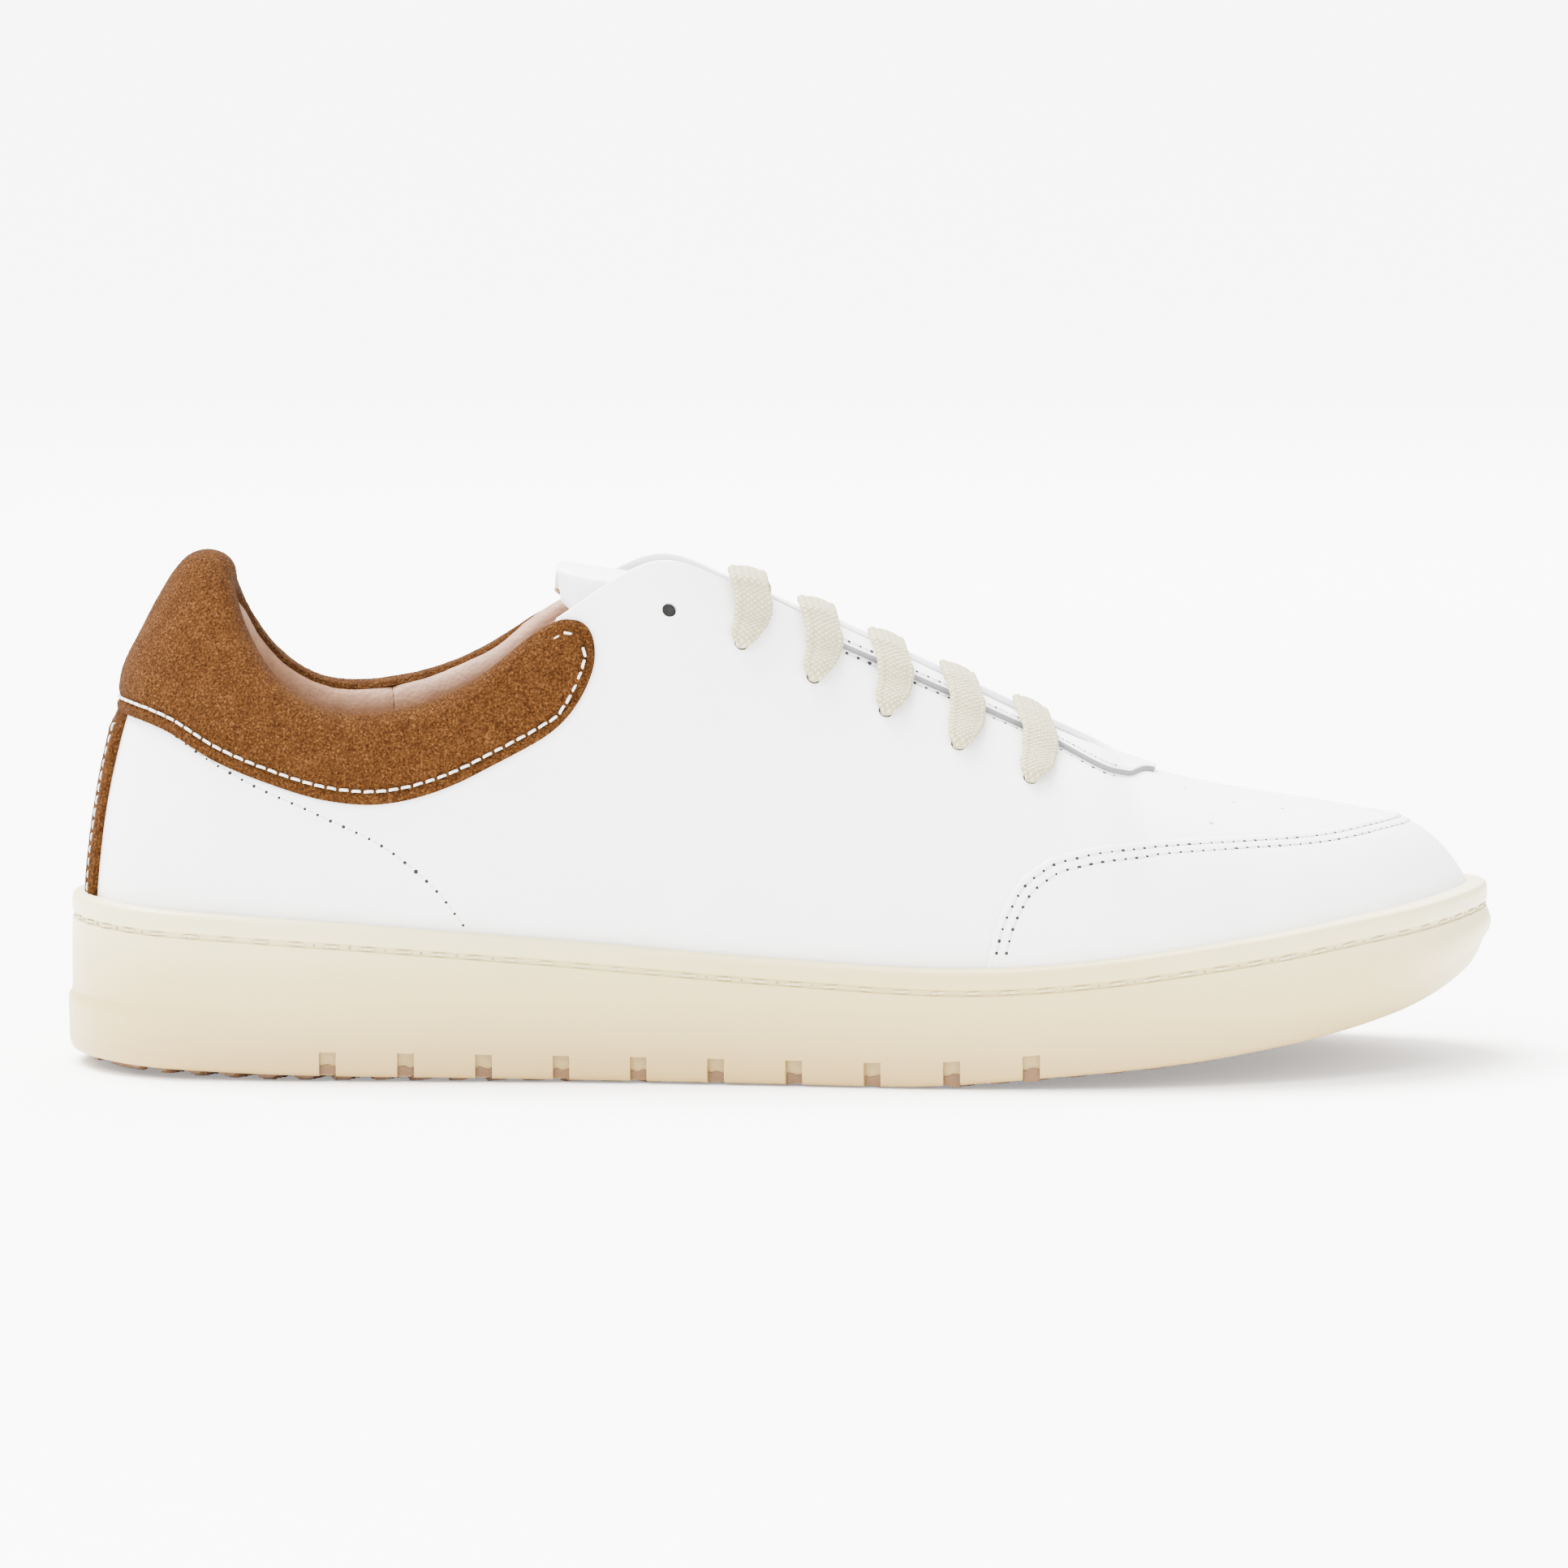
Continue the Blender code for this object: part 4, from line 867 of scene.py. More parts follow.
EYELET_X = EYELET_FIRST[0] + EYELET_PITCH * np.arange(EYELETS)
EYELET_T, EYELET_V = place_at(EYELET_X, eyelet_line(EYELET_X), 0.40, 0.80)


def eyelet_place(i, side):
    t, v = float(EYELET_T[i]), float(EYELET_V[i])
    return (t, v) if side < 0 else (2 - t, v)


def drill(name, places, radius, depth, reach):
    """Round cutters square to the upper, as one helper mesh."""
    bm = bmesh.new()
    for (t, v), r in zip(places, radius):
        out = side_normal(t, v)
        one = bmesh.new()
        bmesh.ops.create_cone(one, cap_ends=True, segments=20, radius1=r, radius2=r, depth=depth + reach)
        turn = Vector(out).to_track_quat("Z", "Y")
        bmesh.ops.rotate(one, verts=one.verts, matrix=turn.to_matrix())
        bmesh.ops.translate(one, verts=one.verts, vec=Vector(point(t, v) + out * (reach - depth) / 2))
        bmesh.ops.scale(one, verts=one.verts, vec=(MM, MM, MM))
        spare = bpy.data.meshes.new(name)
        one.to_mesh(spare)
        one.free()
        bm.from_mesh(spare)
        bpy.data.meshes.remove(spare)
    mesh = bpy.data.meshes.new(name)
    bm.to_mesh(mesh)
    bm.free()
    cutter = bpy.data.objects.new(name, mesh)
    bpy.context.scene.collection.objects.link(cutter)
    return cutter


def punched(made, cutter):
    """Cuts the holes for good, so that the piece carries no modifier."""
    boolean = made.modifiers.new("holes", "BOOLEAN")
    boolean.object = cutter
    boolean.operation = "DIFFERENCE"
    graph = bpy.context.evaluated_depsgraph_get()
    cut = bpy.data.meshes.new_from_object(made.evaluated_get(graph))
    made.modifiers.clear()
    made.data = cut


# how far out from the upper's face, and the radius there
SHADE_SHAPE = ((-1.35, 1.5), (-1.5, 1.75), (-1.75, 1.75), (-1.8, 1.4))


def make_eyelet_shade():
    """Painted shade in the two open eyelets: dark short plugs set at the depth of the punched tape."""
    parts = []
    for side in (-1, 1):
        t, v = eyelet_place(0, side)
        _, up, out = strip_frame(t, v)
        parts.append(turned(point(t, v), out, np.cross(up, out), up, SHADE_SHAPE))
    # the plugs take the near-black hole material: painted shade inside the eyelets
    build("eyelet_shade", parts, HOLE, "fibre_board")


def make_upper():
    t = even(0.0, 2.0, 1.25)[:-1]
    v = rows_between(np.zeros(len(t)), shell_top(t), 64, 1.25)
    v = np.concatenate([np.array([[-1.0, -0.5]] * len(t)), v], 1)
    length = column_length(t)[:, None]
    to_top = (shell_top(t)[:, None] - v) * length
    open_edge = (from_heel(t) < THROAT_END)[:, None]
    rounding = -0.55 * rounded_off(to_top, 0.7) * open_edge
    outer = layer(t[:, None], v, rounding + sag_of(t[:, None], v))
    inner = layer(t[:, None], v, -LEATHER - rounding * 0.4 + sag_of(t[:, None], v))
    ridge = from_heel(t) >= THROAT_END - 1e-6
    made = stand_in("upper", [sheet_solid(outer, inner, closed=True, ridge=ridge)], WHITE, "white_leather")
    eyelets = [eyelet_place(i, side) for i in range(EYELETS) for side in (-1, 1)]
    pricks = perforation_places()
    pricks += [(2 - a, b) for a, b in pricks]
    cutter = drill("holes", eyelets + pricks, [EYELET_RADIUS] * len(eyelets) + [0.5] * len(pricks), 4.0, 2.5)
    punched(made, cutter)
    bpy.data.objects.remove(cutter, do_unlink=True)


PERFORATIONS = ((84.7, -10.0), (89.8, -24.0), (95.0, -12.0), (105.2, -9.0))


def perforation_places():
    """t and v of each breathing hole, from its place in plan."""
    t, v = (part.ravel() for part in np.meshgrid(np.linspace(0.78, 1.04, 400), np.linspace(0.4, 0.985, 400)))
    plan = point(t, v)[:, :2]
    nearest = [int(np.abs(plan - np.array(place)).sum(1).argmin()) for place in PERFORATIONS]
    return [(float(t[i]), float(v[i])) for i in nearest]


GUARD_OUT = 1.15        # its face, outside the upper
GUARD_ROWS = (1.6, 3.6)  # its stitched rows, inside its free edge
GUARD_TAIL = 0.747       # where its columns turn from finer to even spacing


def guard_low(t):
    return crossing(t, lambda x: lip_z(x) - 2.5)


def guard_high(t):
    return np.maximum(crossing(t, guard_edge), guard_low(t) + 0.004)


def guard_columns(count, pitch):
    tail = np.linspace(GUARD_START, GUARD_TAIL, count)[:-1]
    return np.concatenate([tail, even(GUARD_TAIL, 2 - GUARD_TAIL, pitch), (2 - tail)[::-1]])


def make_toe_guard():
    t = guard_columns(44, 1.1)
    low, high = guard_low(t), guard_high(t)
    v = rows_between(low, high, 34, 1.5)
    to_edge = edge_distance(t[:, None], v, GUARD_LINE)
    dents = sum(bump(row, 0.75, to_edge) for row in GUARD_ROWS) * 0.16
    rounding = 0.5 * rounded_off(to_edge, 0.6)
    outer = layer(t[:, None], v, GUARD_OUT - rounding - dents + sag_of(t[:, None], v))
    inner = layer(t[:, None], v, -0.1 + sag_of(t[:, None], v))
    stand_in("toe_guard", [sheet_solid(outer, inner)], WHITE, "white_leather")
    for k, distance in enumerate(GUARD_ROWS):
        row_t, row_v = inset_path(*guard_line(), -distance)
        keep = row_v > guard_low(row_t) + 0.06
        path, normals = surface_path(row_t[keep], row_v[keep], GUARD_OUT - 0.14 + sag_of(row_t[keep], row_v[keep]))
        sew(f"guard_stitch_{k}", path, normals, 2.55, 1.6, 0.2, 0.38)


def guard_line():
    """The guard's free edge, as t and v, from the outer side round the toe to the inner side."""
    t = guard_columns(160, 0.8)
    return t, guard_high(t)


GUARD_LINE = point(*guard_line())


def edge_distance(t, v, line):
    """How far each place of a grid is from a line, mm."""
    spots = point(t, v).reshape(-1, 3)
    found = np.full(len(spots), 1e9)
    for start in range(0, len(line), 64):
        part = line[start:start + 64]
        found = np.minimum(found, np.sqrt(((spots[:, None] - part[None]) ** 2).sum(-1)).min(1))
    return found.reshape(np.shape(v))


def sew(name, path, normals, pitch, length, radius, hole=0.0):
    """A row of stitches, and its needle holes where hole gives them a radius."""
    build(name, [thread_row(path, normals, pitch, length, radius)], THREAD, "cotton_lace", weld=0)
    if hole:
        build(name + "_holes", [hole_row(path, normals, pitch, hole, 0.05)], HOLE, "aglet_plastic", weld=0)


def trim_low(t):
    side = from_heel(t)
    return 0.925 - 0.105 * ease(0.74, 0.80, side) + 0.14 * ease(0.815, 0.845, side)


def make_throat_trim():
    half = np.concatenate([even(TRIM_START, THROAT_END, 0.9), np.linspace(THROAT_END, THROAT_END + 0.024, 9)[1:]])
    parts = []
    for t in (half, (2 - half)[::-1]):
        low = trim_low(t)
        v = rows_between(low, np.ones(len(t)), 16)
        length = column_length(t)[:, None]
        low_edge = (v - low[:, None]) * length
        top_edge = np.where((from_heel(t) < THROAT_END)[:, None], (1 - v) * length, 9.0)
        to_edge = np.minimum(low_edge, top_edge)
        rounding = 0.35 * rounded_off(to_edge, 0.5)
        outer = layer(t[:, None], v, 1.35 - rounding)
        inner = layer(t[:, None], v, -0.05)
        parts.append(sheet_solid(outer, inner, ridge=from_heel(t) >= THROAT_END - 1e-6))
    stand_in("throat_trim", parts, WHITE, "white_leather")
    edges = []
    for side in (0, 1):
        t = even(TRIM_START + 0.002, THROAT_END, 0.8)
        t = np.concatenate([t, np.linspace(THROAT_END, THROAT_END + 0.023, 12)[1:]])
        t = 2 - t[::-1] if side else t
        v = trim_low(t) - 0.12 / column_length(t)
        sides = np.array([layer(t, v + across / column_length(t), out) for across, out in (
            (-0.22, 0.02), (0.0, -0.05), (0.3, 0.0), (0.3, 1.0), (0.06, 1.12), (-0.16, 1.0), (-0.28, 0.5),
        )])
        edges.append(swept(sides.transpose(1, 0, 2)))
    build("trim_cut_edge", edges, CUT_EDGE, "white_leather")
    for side in (0, 1):
        t = even(TRIM_START + 0.01, 0.80, 0.8)
        t = 2 - t[::-1] if side else t
        for name, shift, lift in (("below", -1.5, 0.03), ("above", 1.1, 1.36)):
            v = trim_low(t) + shift / column_length(t)
            path, normals = surface_path(t, v, lift)
            sew(f"trim_stitch_{name}_{side}", path, normals, 2.6, 1.6, 0.2, 0.34)


# ---- The padded collar and its strip ----

SUEDE_THICK = 1.2
SUEDE_GAP = 0.35       # between the upper and the suede's middle
SEWN_IN = 2.7          # the collar's stitched line, inside its edge
RIM_TURN = 0.400       # where the stitched line leaves the collar's foot


def roll_radius(t):
    return (0.6 + SUEDE_THICK / 2 + lining_depth(t, 0.98) + 0.55) / 2


def roll_v(t):
    return 1 - roll_radius(t) / column_length(t)


def collar_path(t, along, shift):
    """The collar's skin: along is mm up from its lower outer edge, over the roll and down inside."""
    radius, v_turn, low, length = roll_radius(t), roll_v(t), collar_low(t), column_length(t)
    rise = collar_rise(t)
    skin = SUEDE_GAP + SUEDE_THICK / 2
    out, up = side_normal(t, v_turn), climb(t, v_turn)
    on_side = layer(t, np.minimum(low + along / length, 1.0), skin + shift)
    centre = point(t, v_turn) + out * (skin - radius)[..., None]
    turn = np.clip((along - rise) / radius, 0, math.pi)
    on_roll = centre + (out * np.cos(turn)[..., None] + up * np.sin(turn)[..., None]) * (radius + shift)[..., None]
    down = np.maximum(along - rise - math.pi * radius, 0) / length
    inside = point(t, v_turn - down) + out * (skin - 2 * radius - shift)[..., None]
    made = np.where((along <= rise)[..., None], on_side, on_roll)
    return np.where((along > rise + math.pi * radius)[..., None], inside, made)


TIP_START, TIP_T, TIP_MM = 0.386, 0.4315, 400.0


def collar_rise(t):
    return (roll_v(t) - collar_low(t)) * column_length(t)


def collar_ends(t):
    """Where the skin starts and ends along its path, mm; in front it narrows to a round tip."""
    rise = collar_rise(t)
    turned = rise + roll_radius(t) * (math.pi * (0.60 + 0.4 * (1 - ease(0.03, 0.09, np.abs(t)))))
    front = np.clip((np.abs(t) - TIP_START) / (TIP_T - TIP_START), 0, 1)
    tip = 1 - np.sqrt(np.clip(1 - front ** 2.6, 0, 1))
    full = turned + (rise + roll_radius(t) * 0.9 - turned) * ease(0.36, 0.408, np.abs(t))
    middle = full * 0.42
    return middle * tip, full + (middle - full) * tip


def collar_columns(pitch):
    main = even(0.0, TIP_START, pitch)
    tip = TIP_START + (TIP_T - TIP_START) * (1 - (1 - np.linspace(0, 1, 40)) ** 1.9)
    half = np.concatenate([main, tip[1:]])
    return np.concatenate([-half[::-1], half[1:]])


def make_collar():
    t = collar_columns(1.1)
    start, end = collar_ends(t)
    share = np.linspace(0, 1, 74)
    share = share - 0.03 * np.sin(share * 2 * math.pi)
    along = start[:, None] + (end - start)[:, None] * share[None]
    flat = collar_path(t[:, None], along, 0.0)
    from_low = along - start[:, None]
    from_end = end[:, None] - along
    side_edge = np.minimum(from_low, from_end)
    edge = np.minimum(side_edge, (TIP_T - np.abs(t))[:, None] * TIP_MM + 0.01)
    seam = 0.55 * bump(SEWN_IN, 1.3, edge_to_rim(t, along, start, end))
    to_rim = np.minimum(edge_to_rim(t, along, start, end), from_end)
    swell = ease(1.0, 9.0, to_rim) * 1.2
    soft = (ripple(flat, 26, 0.32, 21) + ripple(flat, 9, 0.10, 22)) * ease(0.5, 6, to_rim)
    fluff = ripple(flat, 1.9, 0.055, 23) + ripple(flat, 0.9, 0.04, 24)
    curl = 0.5 * (1 - ease(0.0, 1.2, edge))
    outer = collar_path(t[:, None], along, SUEDE_THICK / 2 + swell - seam + soft + fluff - curl)
    inner = collar_path(t[:, None], along, -SUEDE_THICK / 2)
    made = build("visual_collar", [sheet_solid(outer, inner)], SUEDE, "tan_suede")
    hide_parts("collar_suede")
    for facing in (-1, 1):
        row = collar_rim(facing)
        sew(f"collar_stitch_{'outer' if facing > 0 else 'inner'}", *row, 2.6, 1.75, 0.3)


def edge_to_rim(t, along, start, end):
    """Distance from each place of the skin to its sewn rim, mm: the lower edge and the round tip."""
    from_low = along - start[:, None]
    from_top = np.where(np.abs(t)[:, None] > TIP_START, end[:, None] - along, 99.0)
    forward = np.where(np.abs(t) > 0.37, (TIP_T - np.abs(t)) * TIP_MM, 99.0)[:, None]
    return np.minimum(np.minimum(from_low, from_top), forward)


def collar_rim(facing):
    """The stitched line inside the skin's edge: along its foot, round the front, up to the top."""
    foot = even(STRIP_HALF_T * 0.2, RIM_TURN, 0.8)
    front = TIP_T - SEWN_IN / TIP_MM
    turn = np.linspace(-1, 1, 60)[1:-1]
    lean = RIM_TURN + (front - RIM_TURN) * np.cos(turn * math.pi / 2) ** 0.8
    t = np.concatenate([foot, lean])
    low, high = collar_ends(t)
    high = np.minimum(high, collar_rise(t) + 0.5)
    count = len(foot)
    half = np.maximum((high - low)[count:] / 2 - 2.4, 0)
    front_along = (low + high)[count:] / 2 + half * np.sin(turn * math.pi / 2)
    along = np.concatenate([low[:count] + SEWN_IN, front_along])
    path = collar_path(facing * t, along, SUEDE_THICK / 2 + 0.08)
    return path, side_normal(facing * t, np.clip(collar_low(t) + along / column_length(t), 0, 1))


def make_heel_strip():
    t = np.linspace(-STRIP_HALF_T, STRIP_HALF_T, 40)
    low = crossing(t, lambda x: lip_z(x) - 2.0)
    v = rows_between(low, collar_low(t) + 0.035, 90)
    across = 1 - np.abs(t[:, None]) / STRIP_HALF_T
    flat = point(t[:, None], v)
    rounding = 0.6 * (1 - ease(0, 0.12, across))
    seam = 0.35 * bump(0.35, 0.14, across)
    tuck = ease(0.0, 0.05, (collar_low(t)[:, None] - v)) - 1
    fluff = ripple(flat, 1.9, 0.055, 33) + ripple(flat, 0.9, 0.04, 34) + ripple(flat, 14, 0.15, 35)
    outer = layer(t[:, None], v, 1.75 - rounding - seam + fluff + tuck * 0.7)
    inner = layer(t[:, None], v, -0.05)
    stand_in("heel_strip", [sheet_solid(outer, inner)], SUEDE, "tan_suede")
    for k, side in enumerate((-1, 1)):
        v = np.linspace(float(low[20]) + 0.02, float(collar_low(np.zeros(1))[0]) - 0.02, 80)
        line = np.full_like(v, side * STRIP_HALF_T * 0.65)
        path, normals = surface_path(line, v, 1.5)
        sew(f"strip_stitch_{k}", path, normals, 2.6, 1.7, 0.26)


COUNTER_LINE = (
    (-134.2, 78.0), (-126.3, 70.8), (-112.6, 62.4), (-96.3, 55.2), (-79.0, 46.2), (-69.9, 37.7), (-66.1, 32.6),
)


def make_counter_stitch():
    """The seam that holds the heel counter's pocket, from under the collar down to the sole."""
    x = np.linspace(COUNTER_LINE[0][0], COUNTER_LINE[-1][0], 200)
    places = place_at(x, spline(*zip(*COUNTER_LINE))(x), 0.02, 0.5)
    for facing in (-1, 1):
        t, v = places if facing < 0 else (2 - places[0], places[1])
        path, normals = surface_path(t, v, sag_of(t, v) - 0.03)
        sew(f"counter_stitch_{'outer' if facing < 0 else 'inner'}", path, normals, 2.9, 1.3, 0.14, 0.36)


# ---- The linings and what lies on the floor inside ----

SEAM_MM = 330          # mm for each unit of t, near enough for the puff beside a seam


def above_board(t):
    return crossing(t, lambda x: feather_z(x) + 4.9)


def make_linings():
    def high(t):
        under_lip = roll_v(t) - INNER_LIP / column_length(t) - 0.05
        return np.clip(under_lip + (0.975 - under_lip) * ease(0.393, 0.415, from_heel(t)), 0.2, 0.985)

    for name, start, end in (
        ("heel_lining", -0.268, 0.268), ("outer_lining", 0.2685, 0.78), ("inner_lining", 1.22, 1.7315),
        ("toe_lining", 0.78, 1.22),
    ):
        t = even(start, end, 1.6)
        top = high(t) if name != "toe_lining" else np.full_like(t, 0.97)
        v = rows_between(above_board(t) - 0.02, top, 44)
        flat = point(t[:, None], v)
        depth = lining_depth(t[:, None], v)
        to_seam = np.minimum(t - t[0], t[-1] - t)[:, None] * SEAM_MM
        puff = 0.5 * (1 - np.exp(-to_seam / 2.0)) + ripple(flat, 22, 0.25, 41) + ripple(flat, 7, 0.06, 42)
        outer = layer(t[:, None], v, -depth + 0.2)
        inner = layer(t[:, None], v, -depth - 0.6 - puff)
        parts = [sheet_solid(outer, inner)]
        if name != "toe_lining":
            parts.append(turned_lining(start, min(end, 0.412)) if start < 0.5 else turned_lining(-0.412, end - 2))
        stand_in(name, parts, LINING, "lining_leather")


def turned_lining(start, end):
    """The lining's upper stretch, from inside the roll of the collar down to where it lies flat."""
    t = even(start, end, 1.4)
    low = collar_rise(t) + roll_radius(t) * math.pi * 0.5
    high = collar_rise(t) + roll_radius(t) * math.pi + INNER_LIP + 5.0
    along = rows_between(low, high, 40)
    to_seam = np.minimum(t - t[0], t[-1] - t)[:, None] * SEAM_MM
    flat = collar_path(t[:, None], along, 0.0)
    wrinkle = ripple(flat, 16, 0.22, 43) + ripple(flat, 6, 0.06, 44)
    puff = 0.45 * (1 - np.exp(-to_seam / 2.0)) + wrinkle - 0.5
    return sheet_solid(collar_path(t[:, None], along, puff), collar_path(t[:, None], along, -0.9))


SLAB_COLUMNS, SLAB_ROWS = 150, 50


def slab(low, high, inset, soft):
    """A plate inside the feather outline with a rounded rim."""
    t = even(0.0, 1.0, FINE_LENGTH[-1] / 2 / SLAB_COLUMNS)
    grid, rim = across_sole(t, -inset(t), SLAB_ROWS)
    x, y = grid[..., 0], grid[..., 1]
    top = high(x) - 0.7 * (1 - ease(0, 1.2, rim)) + soft * ripple(grid, 30, 1.0, 51)
    return sheet_solid(np.stack([x, y, top], -1), np.stack([x, y, low(x)], -1))


def make_footbed():
    inset = lambda t: 5.4 + 3.0 * ease(0.6, 0.95, from_heel(t))
    for name, low, high, material, slot, soft in (
        ("footbed_foam", 4.3, 7.1, FOAM, "foam", 0.0), ("footbed_cover", 7.1, 8.2, LINING, "lining_leather", 0.25),
    ):
        plate = slab(lambda x: feather_z(x) + low, lambda x: feather_z(x) + high, inset, soft)
        stand_in(name, [plate], material, slot)


# ---- The tongue ----

TONGUE_DEPTH, TONGUE_CROWN, TONGUE_PITCH = 7.8, 0.25, 1.3
TONGUE_LAYERS = (
    ("tongue_outer", 0.0, 1.2, WHITE, "white_leather"), ("tongue_foam", 1.25, 5.0, FOAM, "foam"),
    ("tongue_lining", 5.05, 6.0, LINING, "lining_leather"),
)
TONGUE_FRONT, TONGUE_NESTED = 64.0, -20.0
TONGUE_TIP = ((-28.0, 0.3, 0.97), (-36.0, 1.4, 0.92), (-42.0, 2.3, 0.80), (-45.0, 2.6, 0.60))


def throat_column(x):
    """t of the outer side's top edge at each x along the throat."""
    return bisect(lambda t: TOP_X(t) < x, np.full_like(x, 0.44), np.full_like(x, 0.80), 36)


def tongue_grid():
    x = np.linspace(TONGUE_FRONT, TONGUE_NESTED, int((TONGUE_FRONT - TONGUE_NESTED) / TONGUE_PITCH))
    t = throat_column(x)
    low = 0.80 + 0.10 * ease(0.7, 0.79, t)
    v = low[:, None] + (0.95 - low)[:, None] * np.linspace(0, 1, 9)[None]
    sides = [layer(c[:, None], v, -TONGUE_DEPTH) for c in (t, 2 - t)]
    near, far = sides[0][:, -1], sides[1][:, -1]
    lift = np.linalg.norm(far - near, axis=-1, keepdims=True) * TONGUE_CROWN
    rise_a, rise_b = climb(t, 0.95) * lift, climb(2 - t, 0.95) * lift
    u = np.linspace(0, 1, 36)[None, :, None]
    crown = hermite(near[:, None], far[:, None], rise_a[:, None], -rise_b[:, None], u)
    grid = np.concatenate([sides[0][:, :-1], crown, sides[1][:, ::-1][:, 1:]], 1)
    last = grid[-1]
    knots = [TONGUE_NESTED] + [tip[0] for tip in TONGUE_TIP]
    places = -np.linspace(0, 1, 26)[1:] ** 0.8
    place = TONGUE_NESTED + places * (TONGUE_NESTED - TONGUE_TIP[-1][0])
    rise = np.interp(-place, -np.array(knots), [0.0] + [tip[1] for tip in TONGUE_TIP])
    width = np.interp(-place, -np.array(knots), [1.0] + [tip[2] for tip in TONGUE_TIP])
    middle = last[len(last) // 2]
    tips = np.stack([
        last[None, :, 0] + (place - TONGUE_NESTED)[:, None],
        last[None, :, 1] * width[:, None],
        middle[2] + (last[None, :, 2] - middle[2]) * width[:, None] + rise[:, None],
    ], -1)
    return np.concatenate([grid, tips])


def lowered(grid, depth):
    along, across = np.gradient(grid, axis=0), np.gradient(grid, axis=1)
    out = unit(np.cross(across, along))
    out = np.where((out[..., 2:] < 0) & (np.abs(out[..., 2:]) > 0.3), -out, out)
    return grid - out * np.asarray(depth)[..., None]


def make_tongue():
    grid = tongue_grid()
    rows, places = grid.shape[:2]
    rim = np.minimum(np.arange(places), places - 1 - np.arange(places))[None, :] * TONGUE_PITCH
    end = (rows - 1 - np.arange(rows))[:, None]
    edge = np.minimum(rim, end)
    for name, top, low, material, slot in TONGUE_LAYERS:
        soft = ripple(grid, 20, 0.25, 61) * ease(0, 6, edge) if name != "tongue_foam" else 0
        rounding = 0.5 * (1 - ease(0, 1.0, edge))
        upper_face = lowered(grid, np.full((rows, places), top) + rounding * 0.8 - soft * (name == "tongue_outer"))
        lower_face = lowered(grid, np.full((rows, places), low) - rounding * 0.8 - soft * (name == "tongue_lining"))
        made = stand_in(name, [sheet_solid(upper_face, lower_face)], material, slot, body="tongue")


# ---- The lace ----

LACE_WIDTH, LACE_THICK, LACE_HIDDEN, LACE_IN_HOLE, LACE_DEPTH = 8.6, 1.5, 4.5, 2.0, 6.6
BRAID_PITCH = 0.32     # of the lace's mesh along its length
# how far along the tip, and its radius there
AGLET_SHAPE = (
    (0.0, 1.05), (0.25, 1.35), (1.2, 1.4), (8.0, 1.36), (9.0, 1.25), (10.0, 1.36), (19.0, 1.4), (19.8, 1.2),
    (20.0, 0.8),
)


def strip_frame(t, v):
    out = side_normal(t, v)
    up = climb(t, v)
    along = unit(np.cross(up, out))
    return (along if along[0] > 0 else -along), up, out


def lace_climb(t, v):
    """From inside the shoe, out through an eyelet and up to the throat: centre, width, thickness."""
    along, up, out = strip_frame(t, v)
    hole = point(t, v)
    above = 0.25 + LACE_THICK / 2
    made = [
        (hole + out * (1.4 - LACE_DEPTH), along * LACE_IN_HOLE, -up * LACE_IN_HOLE),
        (hole + out * -0.5, along * LACE_IN_HOLE, -up * LACE_IN_HOLE),
        (hole + out * (above + 0.1) - up * 0.3 + along * 0.2, along * 3.6, unit(out - up * 0.9) * LACE_THICK * 1.35),
        (hole + out * (above + 0.5) + up * 2.0 + along * 0.8, along * 6.4, unit(out - up * 0.3) * LACE_THICK * 1.15),
    ]
    for share in (0.35, 0.62, 0.85, 1.0):
        rise = min(v + (0.995 - v) * share, 0.995)
        lift = above + 1.3 * float(ease(0.25, 0.6, share))
        along, up, out = strip_frame(t, rise)
        bow = math.sin(math.pi * share) * 1.2
        wide = LACE_WIDTH * (0.86 + 0.14 * share)
        made.append((point(t, rise) + out * lift + along * (0.9 + bow), along * wide, out * LACE_THICK))
    return made


def lace_bar(i):
    near = lace_climb(*eyelet_place(i, -1))
    far = lace_climb(*eyelet_place(i, 1))
    start, end = near[-1][0], far[-1][0]
    reach = np.linalg.norm(end - start)
    slope_near = unit(start - near[-2][0]) * reach * 0.16
    slope_far = unit(end - far[-2][0]) * reach * 0.16
    u = np.linspace(0, 1, 7)[:, None]
    bridge = hermite(start, end, slope_near, -slope_far, u)
    width = (near[-1][1] + far[-1][1]) / 2
    middle = []
    for k in range(1, 6):
        out = unit(np.cross(width, bridge[k + 1] - bridge[k - 1]))
        out = out if out[2] > 0 else -out
        middle.append((bridge[k], width, out * LACE_THICK))
    return near + middle + list(reversed(far))


def hidden_run(start, end, facing, count=4):
    made = []
    forward = 1 if point(*end)[0] > point(*start)[0] else -1
    for share in np.linspace(0.12, 0.88, count):
        t, v = start[0] + (end[0] - start[0]) * share, start[1] + (end[1] - start[1]) * share
        _, up, out = strip_frame(t, v)
        made.append((point(t, v) - out * LACE_DEPTH, out * forward * facing * 1.1, -up * LACE_HIDDEN))
    return made


def smooth_route(places):
    """A smooth line through the places, resampled: centres, widths, thicknesses and length so far."""
    centres, widths, depths = (np.array([place[k] for place in places]) for k in range(3))
    steps = np.maximum(np.sqrt(np.linalg.norm(np.diff(centres, axis=0), axis=1)), 0.3)
    knots = np.concatenate([[0], np.cumsum(steps)])
    fine = np.linspace(0, knots[-1], 6000)
    length = run_length(spline(knots, centres)(fine))
    at = np.interp(np.arange(0, length[-1], BRAID_PITCH), length, fine)
    return *(spline(knots, values)(at) for values in (centres, widths, depths)), np.interp(at, fine, length)


